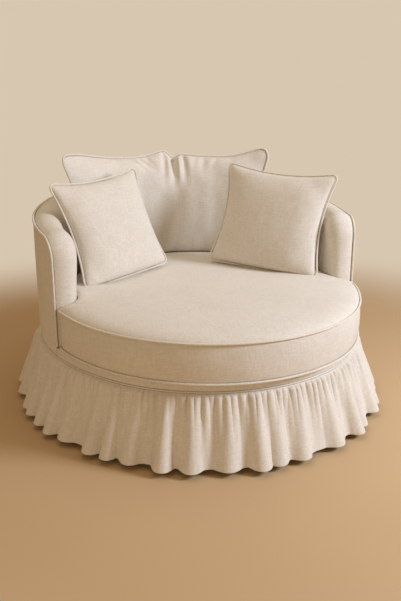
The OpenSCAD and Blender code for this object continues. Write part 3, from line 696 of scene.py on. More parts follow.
def stitches(name, paths, closed, pitch, thread, material, body, slot, long=0.36):
    values = {"Pitch": pitch, "Stitch": pitch * long, "Thread": thread, "Material": material}
    mesh = grown_along(name, stitch_tree(), paths, closed, values)
    return place(name, mesh, material, body, slot)


def straps(name, paths, across, up, kind, body, *nodes):
    values = {"Across": across, "Up": up, "Material": finish(kind)}
    mesh = grown_along(name, strap_tree(), paths, False, values)
    return place(name, mesh, finish(kind), body, kind, *nodes)


# Zips: the tape's thickness and width, and the size of a tooth
SEAT_ZIP = 0.0009, 0.024, (0.0015, 0.005, 0.0012)
COVER_ZIP = 0.0009, 0.006, (0.0016, 0.003, 0.0012)
TOOTH_PITCH = 0.0022
# How far a zip's line stands off the cloth
ZIP_OUT = 0.0012


def zipped(name, path, size, body, *nodes):
    across, up, tooth = size
    values = {
        "Across": across, "Up": up, "Pitch": TOOTH_PITCH, "Tooth": tooth,
        "Material": finish("zip_nylon"),
    }
    mesh = grown_along(name, zip_tree(), [path], False, values)
    return place(name, mesh, finish("zip_nylon"), body, "zip_nylon", *nodes)


# Finishes


def new_material(name):
    made = bpy.data.materials.new(name)
    made.use_nodes = True
    tree = made.node_tree
    tree.nodes.clear()
    shader = add_node(tree, "ShaderNodeBsdfPrincipled")
    add_node(tree, "ShaderNodeOutputMaterial", {"Surface": shader.outputs[0]})
    return made, tree, shader


def noise(tree, where, scale, detail=3.0, roughness=0.55):
    return add_node(
        tree, "ShaderNodeTexNoise",
        {"Vector": where, "Scale": scale, "Detail": detail, "Roughness": roughness},
    ).outputs["Fac"]


def stretched(tree, where, scale):
    return add_node(tree, "ShaderNodeMapping", {"Vector": where, "Scale": scale}).outputs[0]


def math_node(tree, operation, a, b=0.0, c=0.0):
    return add_node(
        tree, "ShaderNodeMath", {0: a, 1: b, 2: c}, operation=operation
    ).outputs[0]


def ramp(tree, value, low, high, start=0.3, end=0.7):
    """A colour from low to high as value goes from start to end."""
    part = add_node(
        tree, "ShaderNodeMapRange",
        {"Value": value, "From Min": start, "From Max": end}, clamp=True,
    ).outputs[0]
    made = add_node(tree, "ShaderNodeMix", {"Factor": part}, data_type="RGBA")
    made.inputs[6].default_value = (*low, 1)
    made.inputs[7].default_value = (*high, 1)
    return made.outputs[2]


def blended(tree, factor, a, b, how="MIX"):
    made = add_node(
        tree, "ShaderNodeMix", {"Factor": factor, 6: a, 7: b}, data_type="RGBA", blend_type=how
    )
    return made.outputs[2]


def tone(c, k):
    return [min(v * k, 1) for v in c]


def woven(name, light, dark, pitch, rough=0.92, sheen=0.25, depth=0.35, slub=1.0):
    """A plain weave that follows the piece's own map: two sets of threads, with slubs."""
    made, tree, shader = new_material(name)
    where = add_node(tree, "ShaderNodeUVMap", uv_map="UVMap").outputs[0]
    place_of = add_node(tree, "ShaderNodeTexCoord").outputs["Object"]
    parts = add_node(tree, "ShaderNodeSeparateXYZ", {0: where})
    turns = math.pi / pitch
    wavy = math_node(tree, "MULTIPLY", noise(tree, where, 60.0, 2.0), pitch * 1.2)
    warp_at = math_node(tree, "ADD", parts.outputs[0], wavy)
    weft_at = math_node(tree, "ADD", parts.outputs[1], wavy)
    warp = math_node(tree, "SINE", math_node(tree, "MULTIPLY", warp_at, turns))
    weft = math_node(tree, "SINE", math_node(tree, "MULTIPLY", weft_at, turns))
    over = math_node(tree, "MULTIPLY_ADD", math_node(tree, "MULTIPLY", warp, weft), 0.5, 0.5)
    bumps = math_node(
        tree, "ADD",
        math_node(tree, "MULTIPLY", math_node(tree, "ABSOLUTE", warp), over),
        math_node(
            tree, "MULTIPLY", math_node(tree, "ABSOLUTE", weft),
            math_node(tree, "SUBTRACT", 1.0, over),
        ),
    )
    across = noise(tree, stretched(tree, where, (20, 360, 1)), 1.0, 4.0)
    along = noise(tree, stretched(tree, where, (360, 20, 1)), 1.0, 4.0)
    slubs = math_node(
        tree, "MULTIPLY_ADD", math_node(tree, "ADD", across, along), 0.5 * slub, 0.5 - 0.5 * slub
    )
    grain = noise(tree, place_of, 170.0, 5.0, 0.75)
    patches = noise(tree, place_of, 7.0, 3.0)
    colour_of = ramp(tree, slubs, dark, light, 0.40, 0.58)
    speck = ramp(tree, grain, tone(light, 0.82), tone(light, 1.09), 0.36, 0.64)
    colour_of = blended(tree, 0.5, colour_of, speck)
    faded = ramp(tree, patches, (0.965, 0.965, 0.955), (1, 1, 1), 0.36, 0.6)
    colour_of = blended(tree, 1.0, colour_of, faded, "MULTIPLY")
    # Painted shade: the colour is darkened in the low places between the threads, where the
    # weave's bumps are lowest
    weave_painted_shade = ramp(tree, bumps, (0.86, 0.85, 0.84), (1, 1, 1), 0.1, 0.8)
    colour_of = blended(tree, 1.0, colour_of, weave_painted_shade, "MULTIPLY")
    tree.links.new(colour_of, shader.inputs["Base Color"])
    height = math_node(
        tree, "ADD",
        math_node(tree, "MULTIPLY", bumps, pitch * 0.22),
        math_node(tree, "MULTIPLY", slubs, pitch * 0.5),
    )
    fluff = math_node(tree, "MULTIPLY_ADD", grain, pitch * 0.35, height)
    bump = add_node(
        tree, "ShaderNodeBump", {"Strength": depth, "Distance": 1.0, "Height": fluff}
    )
    tree.links.new(bump.outputs[0], shader.inputs["Normal"])
    shader.inputs["Roughness"].default_value = rough
    shader.inputs["Sheen Weight"].default_value = sheen
    shader.inputs["Sheen Roughness"].default_value = 0.5
    shader.inputs["Sheen Tint"].default_value = (*tone(light, 1.1), 1)
    shader.inputs["Specular IOR Level"].default_value = 0.25
    return made


def mottled(name, base, scale, spread=0.1, rough=0.6, metal=0.0, bump=0.0003, grain=(1, 1, 1)):
    """A finish with soft patches and fine grain: fibre, foam, board, wood, plastic or metal."""
    made, tree, shader = new_material(name)
    where = add_node(tree, "ShaderNodeTexCoord").outputs["Object"]
    lines = stretched(tree, where, grain)
    fine = noise(tree, lines, scale, 5.0, 0.6)
    wide = noise(tree, lines, scale * 0.12, 3.0)
    colour_of = ramp(tree, fine, tone(base, 1 - spread), tone(base, 1 + spread * 0.6))
    faded = ramp(tree, wide, (0.9, 0.9, 0.9), (1, 1, 1))
    colour_of = blended(tree, 1.0, colour_of, faded, "MULTIPLY")
    tree.links.new(colour_of, shader.inputs["Base Color"])
    polish = add_node(
        tree, "ShaderNodeMapRange",
        {"Value": fine, "To Min": rough * 0.85, "To Max": min(rough * 1.15, 1)},
    )
    tree.links.new(polish.outputs[0], shader.inputs["Roughness"])
    raised = add_node(
        tree, "ShaderNodeBump", {"Strength": 0.6, "Distance": bump, "Height": fine}
    )
    tree.links.new(raised.outputs[0], shader.inputs["Normal"])
    shader.inputs["Metallic"].default_value = metal
    return made


FINISHES = {}


def finish(name):
    """Each finish is made once, by the name of what it is made of."""
    if name in FINISHES:
        return FINISHES[name]
    c = sizes("colours")
    linen, shade = list(c.linen), list(c.linen_shade)
    makers = {
        "cream_linen": lambda: woven("Cream linen", linen, shade, 0.0013),
        # The piping's linen is 3% lighter than the covers' linen: a painted highlight along the
        # raised cords
        "linen_piping": lambda: woven("Linen bias piping", tone(linen, 1.03), shade, 0.0011),
        "sewing_thread": lambda: mottled("Sewing thread", tone(linen, 0.97), 900, 0.15, 0.7),
        "dark_cloth": lambda: woven(
            "Black cambric", list(c.dark_cloth), tone(list(c.dark_cloth), 0.6), 0.0009
        ),
        "jute_webbing": lambda: woven(
            "Jute webbing", list(c.jute), tone(list(c.jute), 0.6), 0.0022, depth=0.8
        ),
        "fibre_wadding": lambda: mottled(
            "Polyester wadding", list(c.fibre), 160, 0.08, 0.98, bump=0.002
        ),
        "foam": lambda: mottled("Cushion foam", list(c.foam), 420, 0.1, 0.95, bump=0.0008),
        "plywood": lambda: mottled(
            "Birch plywood", list(c.ply), 46, 0.16, 0.55, grain=(0.35, 6, 9)
        ),
        "hardwood": lambda: mottled(
            "Beech", list(c.hardwood), 60, 0.2, 0.5, grain=(4, 0.5, 4)
        ),
        "steel": lambda: mottled(
            "Zinc-plated steel", list(c.steel), 120, 0.08, 0.38, metal=1.0, bump=0.0001
        ),
        "cage_plastic": lambda: mottled("Acetal", linear("#D9D6CC"), 300, 0.04, 0.4),
        "glide_plastic": lambda: mottled("Polypropylene", linear("#2A2A2B"), 260, 0.2, 0.5),
        "board": lambda: mottled("Pressed board", list(c.board), 180, 0.18, 0.85),
        "zip_nylon": lambda: mottled("Nylon zip", tone(linen, 0.9), 700, 0.12, 0.6),
    }
    FINISHES[name] = makers[name]()
    return FINISHES[name]


# Operators


class LOUNGE_OT_stage(bpy.types.Operator):
    """Sets up the floor, the soft lamps and the camera"""

    bl_idname = "lounge.stage"
    bl_label = "Studio"

    # Each lamp: its place, size, power and colour; all point at the chair's middle
    lamps = {
        "key_lamp": ((2.52, -1.97, 2.0), 1.0, 92, (0.92, 1.02, 1.22)),
        "fill_lamp": ((-1.9, -2.6, 0.9), 1.6, 8, (1.0, 0.9, 0.74)),
        "top_lamp": ((0.2, 0.3, 3.2), 2.6, 18, (0.97, 0.97, 0.95)),
    }
    lit_at = (0.0, 0.0, 0.4)
    # The light from all round, in place of which the camera sees the backdrop
    round_colour, round_strength = (1.0, 0.72, 0.42, 1), 0.39
    # The camera's place and direction, fitted to the photograph, and its lens, in mm
    camera_at, camera_towards = (-0.8118, -2.4698, 1.1437), (0.3012, 0.9070, -0.2943)
    focal_length, sensor = 41.93, 36
    # The floor's radius, and where it starts and ends to fade into the backdrop
    floor_r, floor_sides, fade_from, fade_to = 5, 96, 1.1, 2.6

    def faded_floor(self, base):
        """The floor's finish, which lets the backdrop through far from the chair."""
        made = mottled("Studio floor", base, 3, 0.01, 0.9, bump=0.0)
        tree = made.node_tree
        where = add_node(tree, "ShaderNodeTexCoord").outputs["Object"]
        far = add_node(tree, "ShaderNodeVectorMath", {0: where}, operation="LENGTH")
        gone = add_node(
            tree, "ShaderNodeMapRange",
            {
                "Value": far.outputs["Value"],
                "From Min": self.fade_from,
                "From Max": self.fade_to,
            },
            interpolation_type="SMOOTHERSTEP",
        ).outputs[0]
        clear = add_node(tree, "ShaderNodeBsdfTransparent")
        shader = tree.nodes["Principled BSDF"]
        both = add_node(
            tree, "ShaderNodeMixShader", {0: gone, 1: shader.outputs[0], 2: clear.outputs[0]}
        )
        tree.links.new(both.outputs[0], tree.nodes["Material Output"].inputs["Surface"])
        return made

    def aimed(self, name, data, stand, towards):
        """A lamp or camera at its stand, pointing one way."""
        holder = bpy.data.objects.new(name, data)
        holder.location = stand
        holder.rotation_euler = towards.to_track_quat("-Z", "Y").to_euler()
        bpy.context.collection.objects.link(holder)
        return holder

    def execute(self, context):
        scene = context.scene
        scene.view_settings.view_transform = "Standard"
        c = sizes("colours")
        round_it = np.arange(self.floor_sides) * 2 * math.pi / self.floor_sides
        ring = [(self.floor_r * math.cos(q), self.floor_r * math.sin(q), 0) for q in round_it]
        mesh = bpy.data.meshes.new("studio_floor")
        mesh.from_pydata(ring, [], [tuple(range(self.floor_sides))])
        ground = bpy.data.objects.new("studio_floor", mesh)
        context.collection.objects.link(ground)
        mesh.materials.append(self.faded_floor(list(c.floor)))
        ground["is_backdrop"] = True
        world = bpy.data.worlds.new("Studio")
        scene.world = world
        world.use_nodes = True
        tree = world.node_tree
        tree.nodes.clear()
        path = add_node(tree, "ShaderNodeLightPath").outputs
        seen_by = math_node(tree, "MAXIMUM", path["Is Camera Ray"], path["Is Transmission Ray"])
        light = add_node(
            tree, "ShaderNodeBackground",
            {"Color": self.round_colour, "Strength": self.round_strength},
        )
        seen = add_node(
            tree, "ShaderNodeBackground", {"Color": (*c.backdrop, 1), "Strength": 1.0}
        )
        both = add_node(
            tree, "ShaderNodeMixShader", {0: seen_by, 1: light.outputs[0], 2: seen.outputs[0]}
        )
        add_node(tree, "ShaderNodeOutputWorld", {0: both.outputs[0]})
        for name, (stand, size, power, tint) in self.lamps.items():
            lamp = bpy.data.lights.new(name, "AREA")
            lamp.shape, lamp.size, lamp.energy, lamp.color = "DISK", size, power, tint
            self.aimed(name, lamp, stand, Vector(self.lit_at) - Vector(stand))
        camera = bpy.data.cameras.new("photo_camera")
        camera.lens, camera.sensor_width = self.focal_length, self.sensor
        scene.camera = self.aimed(
            "photo_camera", camera, self.camera_at, Vector(self.camera_towards)
        )
        return {"FINISHED"}


class LOUNGE_OT_frame_finishes(bpy.types.Operator):
    """Gives the frame, the base and the bearing their finishes"""

    bl_idname = "lounge.frame_finishes"
    bl_label = "Frame finishes"

    def execute(self, context):
        made_of = {
            "glide_plastic": "floor_glides",
            "cage_plastic": "ball_cage",
            "plywood": "floor_ring bottom_ring seat_ring top_rail",
            "hardwood": "cross_bar_lower cross_bar_upper bearers frame_studs back_posts "
            "arm_front_stiles",
            "steel": "swivel_lower_plate lower_plate_screws bearing_balls pivot_rivet "
            "swivel_upper_plate upper_plate_bolts bearer_screws",
            "board": "outer_board front_board inner_board",
        }
        for kind, nodes in made_of.items():
            for node in nodes.split():
                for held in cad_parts[node].material_slots:
                    held.material = finish(kind)
        return {"FINISHED"}


class LOUNGE_OT_wall_pad(bpy.types.Operator):
    """Makes the padded wall, its inside cover with the roll, and its piping"""

    bl_idname = "lounge.wall_pad"
    bl_label = "Padded wall"

    # Stations along the edge: their spacing, and how many turn the corner
    step, corner_turns = 0.012, 16
    # Points of the roll's profile are this many degrees apart, up to its last turn
    roll_step, roll_end = 5, 140
    # Room between the deck and the covers
    off_deck = 0.0008
    # How far in from the edge, above it and off the deck the piping's line stands
    cord_off = 0.001
    # The foam's inside: its inset on the boards' top and further in, its depth and its foot
    rail_in, rail_wide, rail_down, foot_in = 0.009, 0.0478, 0.03, 0.0568

    def execute(self, context):
        b = sizes("barrel")
        wall = Wall(b, Plan(b))
        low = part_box("inside_cover")[0].z
        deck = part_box("deck_cloth")[1].z
        edge = wall.edge(deck + self.off_deck, self.step, self.corner_turns)
        turns = np.arange(0, self.roll_end + 1, self.roll_step).astype(float)
        skin = padded_layer(wall, edge, turns, low, 0)
        lining = padded_layer(wall, edge, turns, low, b.cover_t)
        cover = strip("inside_cover_cloth", mirrored(skin), mirrored(lining))
        made = place(
            "inside_cover_cloth", cover, finish("cream_linen"), "chair", "cream_linen",
            "inside_cover",
        )
        path = wall.edge(deck + b.piping_r + self.cord_off, self.step, self.corner_turns)
        path = mirrored(wall.at(path, self.cord_off, -self.cord_off))[:, 0]
        piping(
            "wall_edge_piping", path, False, b.piping_r, finish("linen_piping"), "chair",
            "cream_linen", "wall_piping",
        )

        foam_e = b.cover_t + b.ease
        outer = padded_layer(wall, edge, turns, low, foam_e)
        inward = np.interp(turns, [60, 90, 110, 125, self.roll_end], [1, 0.7, 0.4, 0.2, 0])
        deeper = np.interp(turns, [0, 60], [1.3, 1])
        core = wall.at(
            edge, self.rail_in + self.rail_wide * inward[None, :], self.rail_down * deeper[None, :]
        )
        foot = wall.foot(edge, self.foot_in, low)
        up = np.linspace(0, 1, wall.face_rows)[None, :-1, None]
        inside = np.concatenate([foot[:, None] * (1 - up) + core[:, :1] * up, core], 1)
        foam = strip("wall_foam_pad", mirrored(outer), mirrored(inside))
        made = place("wall_foam_pad", foam, finish("foam"), "chair", "foam", "wall_foam")
        return {"FINISHED"}


def outside_layer(wall, low, below, inset, slack=0.0012):
    """The right half of a layer round the barrel's outside, which swells by its slack, with
    its flat size and its area."""
    b, plan = wall.b, wall.plan
    a = np.concatenate([
        plan.arm_a + b.corner_r * plan.per_m * (1 - np.cos(np.linspace(0, np.pi / 2, 14))),
        np.linspace(wall.corner_a, 90, 76)[1:],
    ])
    start = plan.arm_a + below * plan.per_m
    a = start + (a - plan.arm_a) * (90 - start) / (90 - plan.arm_a)
    ahead = (a - plan.arm_a) / plan.per_m
    top = wall.top_at(plan.at(a, 0)[:, 1]) - below
    corner = b.corner_r - below
    x = np.clip(b.corner_r - ahead, 0, corner)
    round_top = wall.corner_z + np.sqrt(corner**2 - x**2)
    top = np.where(ahead < b.corner_r, np.minimum(round_top, top), top)
    up = np.linspace(0, 1, 40)
    z = low + (top[:, None] - low) * up
    swell = slack * np.sin(np.pi * up)[None, :] * np.ones_like(z)
    layer = at_height(plan.at(a[:, None] + 0 * z, inset - swell), z)
    run = 2 * length_of(layer[:, 0])
    area = (np.diff(ahead) * (top[1:] + top[:-1] - 2 * low) / 2).sum() * 2
    return layer, (run, top.max() - low), area


class LOUNGE_OT_outside(bpy.types.Operator):
    """Makes the outside cover of the barrel, the border across the front and the welt"""

    bl_idname = "lounge.outside"
    bl_label = "Outside covers"

    # How far the cover runs up behind the piping, how far under the piping the wadding ends,
    # and the wadding's thickness
    under_piping, under_edge, wadding_t = 0.001, 0.004, 0.0046
    # The border's top turns in over the board: insets of its points on the face and the back
    lip_in = (0.0008, 0.003, 0.0135, 0.0145, 0.04, 0.0695)
    lip_back_in = (0.0034, 0.0036, 0.0135, 0.0142)
    # The face's slack, and how far the lip lies over the band's top and is rounded
    slack, lip_over, lip_round = 0.0015, 0.0002, 0.0006
    # How far under the band's top its back stays: at the turn, along the lip and at the end
    back_start, back_lip, back_end = (0.0012, 0.0005), 0.0003, 0.0014
    # Room between the border and the arm fronts, and between them and the wadding behind it
    arm_room, wadding_room = 0.002, 0.02
    # The wadding's outside and inside, as insets
    wadding_in = (0.0034, 0.008)
    # Rows of points up the border, and columns each side of the front
    face_rows, columns = 13, 60

    def execute(self, context):
        b, s = sizes("barrel"), sizes("skirt")
        plan = Plan(b)
        wall = Wall(b, plan)
        low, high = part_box("border_band")[0].z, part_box("border_band")[1].z
        for name, node, kind, below, inset, thick in (
            ("outside_cover_cloth", "outside_cover", "cream_linen",
             b.piping_r - self.under_piping + b.ease, 0.0, b.cover_t),
            ("outside_wadding_sheet", "outside_wadding", "fibre_wadding",
             b.piping_r + self.under_edge, b.cover_t + b.ease, self.wadding_t),
        ):
            outer, flat, area = outside_layer(wall, low, below, inset)
            inner = outside_layer(wall, low, below, inset + thick)[0]
            cloth = strip(name, mirrored(outer), mirrored(inner))
            made = place(name, cloth, finish(kind), "chair", kind, node)

        arm_end = plan.arm_a + self.arm_room * plan.per_m
        front = np.concatenate([
            np.linspace(arm_end, -90, self.columns),
            np.linspace(270, 180 - arm_end, self.columns)[1:],
        ])
        q = np.linspace(0, np.pi, self.face_rows)
        z = low + (high - self.slack - low) * (1 - np.cos(q)) / 2
        lip_z = high + self.lip_over
        face_w = np.concatenate([-self.slack * np.sin(q), self.lip_in])
        face_z = np.concatenate([
            z, [lip_z - self.lip_round], np.full(len(self.lip_in) - 1, lip_z)
        ])
        back_w = np.concatenate([
            np.full(self.face_rows, b.cover_t), self.lip_back_in, self.lip_in[4:]
        ])
        back_z = np.concatenate([
            np.minimum(z, high - self.back_start[0]), [high - self.back_start[1]],
            np.full(2, high - self.back_lip), np.full(3, high - self.back_end),
        ])

        def band(w, z):
            return at_height(plan.at(front[:, None] + 0 * w, w + 0 * front[:, None]), z)

        cloth = strip("front_border_cloth", band(face_w, face_z), band(back_w, back_z))
        made = place(
            "front_border_cloth", cloth, finish("cream_linen"), "chair", "cream_linen",
            "border_band",
        )
        length_of(band(face_w, face_z)[:, 0])

        last = plan.arm_a - self.wadding_room * plan.per_m
        behind = front[(front < last) | (front > 180 - last)]
        heights = np.linspace(low, high - b.ease, 8)

        def wadding(w):
            return at_height(plan.at(behind[:, None] + 0 * heights, w), heights)

        cloth = strip("front_wadding_sheet", *(wadding(w) for w in self.wadding_in))
        made = place(
            "front_wadding_sheet", cloth, finish("fibre_wadding"), "chair", "fibre_wadding",
            "front_wadding",
        )
        length_of(wadding(self.wadding_in[0])[:, 0])

        round_it = np.linspace(-90, 270, 720, endpoint=False)
        piping(
            "skirt_seam_welt", at_height(plan.at(round_it, 0), s.seam_h), True, s.welt_r,
            finish("linen_piping"), "chair", "cream_linen", "border_welt",
        )
        return {"FINISHED"}


class LOUNGE_OT_skirt(bpy.types.Operator):
    """Makes the gathered skirt with its tape and its stitched hem"""

    bl_idname = "lounge.skirt"
    bl_label = "Gathered skirt"

    # Columns of points round the skirt, and its rows as shares of the drop, closer where the
    # gathers start and where the hem is sewn
    columns = 2000
    rows_at = (
        0, 0.008, 0.02, 0.036, 0.056, 0.08, 0.11, 0.15, 0.2, 0.26, 0.33, 0.41, 0.49, 0.57, 0.65,
        0.73, 0.8, 0.865, 0.915, 0.95, 0.975, 0.992, 1,
    )
    seed = 7
    # Small gathers: how far each may stand from its even place, as a share of their pitch, then
    # least and most reach down, as a share of the drop, height, and lean in degrees
    tuck_shift, tuck_life, tuck_tall, tuck_lean = 0.32, (0.12, 0.42), (0.7, 1), (-0.8, 0.8)
    # Main folds: degrees from one to the next and least from the last to the first, then
    # height, lean in degrees, half width as a share of their room, and depth at the seam
    fold_apart, last_apart = (5.2, 10.6), 4.5
    fold_tall, fold_lean, fold_wide, fold_start = (0.75, 1.15), (-1.2, 1.2), (0.44, 0.6), 0.005
    # Lesser folds between them: place, reach down, height and half width in degrees
    lesser_at, lesser_life, lesser_tall, lesser_wide = (0.6, 1.4), (0.3, 1.1), 0.0075, 0.85
    # Share of the drop in which the cloth leaves the seam
    start_run = 0.012
    # The seam's length, about, and how steeply the cloth may run in and out of it
    seam_run, steepest = 3.9, 1.6
    # How far the folds' sides lean over, at the seam and more at the hem
    lean_over, lean_more = 0.001, 0.0052
    # The row that the hem's stitches follow, their pitch and thread, and how far they stand out
    hem_row, stitch_pitch, thread_r, stitch_out = 18, 0.0042, 0.00035, 0.0002
    # The doubled hem's share of the drop, its thickness in layers, and the cloth turned up
    hem_share, hem_layers, hem_turned = 0.9, 1.35, 0.03
    # The heading's tape: its width, and its outside and inside as insets
    tape_w, tape_in = 0.035, (0.005, 0.008)

    def gathers(self, s, a, t):
        """Reach of the gathered cloth at plan angles a, for each share t of the drop: small
        ridges side by side at the heading die out over main folds that run to the hem."""
        random = np.random.default_rng(self.seed)
        pitch = 360 / s.tucks
        shift = self.tuck_shift * random.uniform(-1, 1, s.tucks)
        places = (np.arange(s.tucks) + shift) * pitch
        life = random.uniform(*self.tuck_life, s.tucks)
        tall = random.uniform(*self.tuck_tall, s.tucks)
        lean = random.uniform(*self.tuck_lean, s.tucks)
        folds, at = [], 0.0
        while at < 360 - self.last_apart:
            folds.append(at)
            at += random.uniform(*self.fold_apart)
        folds = np.array(folds) * 360 / at
        cell = (np.roll(folds, -1) - np.roll(folds, 1)) % 360 / 4
        fold_tall = random.uniform(*self.fold_tall, len(folds))
        fold_lean = random.uniform(*self.fold_lean, len(folds))
        fold_wide = cell * random.uniform(*self.fold_wide, len(folds))
        lesser = folds + cell * random.uniform(*self.lesser_at, len(folds))
        lesser_life = random.uniform(*self.lesser_life, len(folds))

        def away(where, drift):
            return (a[:, None] - (where + drift)[None, :] + 180) % 360 - 180

        def upper(each, soft, floor):
            """The highest of the ridges and the floor, with soft valleys."""
            each = np.concatenate([each, np.full((len(a), 1), floor)], 1)
            most = each.max(1, keepdims=True)
            return most[:, 0] + soft * np.log(np.exp((each - most) / soft).sum(1))

        def bump(where, drift, wide):
            return np.exp(-((away(where, drift) / wide) ** 2))

        reach = np.zeros((len(a), t.size))
        for k, down in enumerate(t):
            deep = self.fold_start + (s.fold_depth - self.fold_start) * down**0.7
            main = deep * (fold_tall * bump(folds, fold_lean * down, fold_wide)).sum(1)
            wide = 0.5 * pitch * (1 + 1.5 * down)
            amp = s.tuck_depth * tall * np.exp(-((down / life) ** 1.3))
            each = amp - s.tuck_depth * (away(places, lean * down) / wide) ** 2
            tucks = upper(each, 0.0005 + 0.0012 * down, 0.0)
            amp = self.lesser_tall * np.exp(-((down / lesser_life) ** 2)) * min(1, 0.3 + 4 * down)
            drift = 0.8 * lean[: len(folds)] * down
            second = (amp * bump(lesser, drift, self.lesser_wide * (1 + 0.7 * down))).sum(1)
            reach[:, k] = (1 - math.exp(-down / self.start_run)) * (tucks + second + main)
        return reach

    def execute(self, context):
        b, s = sizes("barrel"), sizes("skirt")
        plan = Plan(b)
        n = self.columns
        a = -90 + 360 * np.arange(n) / n
        top = s.seam_h - s.welt_r - b.ease
        t = np.array(self.rows_at, float)
        reach = self.gathers(s, a, t) + b.ease + s.cloth_t / 2 + s.flare * t**0.95
        reach = np.maximum(reach, s.cloth_t / 2 + b.ease / 2 + 0.3 * s.flare * t)
        # The first two rows stay close under the seam
        reach[:, :2] = np.minimum(reach[:, :2], 4 * b.ease + 2 * b.ease * np.arange(2))
        slope = (np.roll(reach, -1, 0) - np.roll(reach, 1, 0)) / (2 * self.seam_run / n)
        slope = np.clip(slope, -self.steepest, self.steepest)
        outward = plan.outward(a)
        side = np.stack([-outward[:, 1], outward[:, 0]], -1)
        rows = plan.at(a[:, None], -reach)
        rows = rows - side[:, None] * (slope * (self.lean_over + self.lean_more * t))[..., None]
        rows = at_height(rows, top - (top - s.hem_h) * t)
        along = np.roll(rows, -1, 0) - np.roll(rows, 1, 0)
        down = np.gradient(rows, axis=1)
        normal = unit(np.cross(down, along))
        normal *= np.sign((normal[..., :2] * outward[:, None]).sum(-1, keepdims=True).mean())
        half = s.cloth_t / 2 * np.where(t > self.hem_share, self.hem_layers, 1)[None, :, None]
        outside, inside = rows + normal * half, rows - normal * half
        cloth = strip("gathered_skirt", outside, inside, along=True)
        made = place(
            "gathered_skirt", cloth, finish("cream_linen"), "chair", "cream_linen", "skirt"
        )
        hem = outside[:, self.hem_row] + normal[:, self.hem_row] * self.stitch_out
        sewn = stitches(
            "skirt_hem_stitches", [hem], True, self.stitch_pitch, self.thread_r,
            finish("sewing_thread"), "chair", "cream_linen",
        )

        heights = np.linspace(top - self.tape_w, top, 8)
        ring = np.arange(-90, 270, 1.5)
        faces = [
            at_height(plan.at(ring[:, None] + 0 * heights, w), heights) for w in self.tape_in
        ]
        cloth = strip("skirt_heading_tape", *faces, along=True)
        made = place(
            "skirt_heading_tape", cloth, finish("jute_webbing"), "chair", "jute_webbing",
            "skirt_tape",
        )
        return {"FINISHED"}


def deck_outline(plan, b, front_w, back_w, room=0.005, step=0.014):
    """Outline of the deck: wide ahead of the arms, and between the walls behind them."""
    turn_at = plan.arm_a - (b.roll_rise + room) * plan.per_m
    ahead, behind = np.linspace(-90, turn_at, 90), np.linspace(turn_at, 90, 140)
    right = np.concatenate([plan.at(ahead, front_w), plan.at(behind, back_w)])
    return spaced_loop(np.concatenate([right, right[-2:0:-1] * [-1, 1]]), step)


def stacked(name, outline, middle, rings):
    """A flat closed form over an outline: rings of a share of it, each at its height."""
    rows = np.stack([at_height(middle + (outline - middle) * k, z) for k, z in rings])
    closed = np.concatenate([rows, rows[:, :1]], 1)
    return grid(name, rows, around=True, uv=closed[..., :2].copy())


def joined(name, meshes):
    """One mesh of several, which are used up."""
    bm = bmesh.new()
    for mesh in meshes:
        bm.from_mesh(mesh)
        bpy.data.meshes.remove(mesh)
    made = bpy.data.meshes.new(name)
    bm.to_mesh(made)
    bm.free()
    made.shade_smooth()
    return made


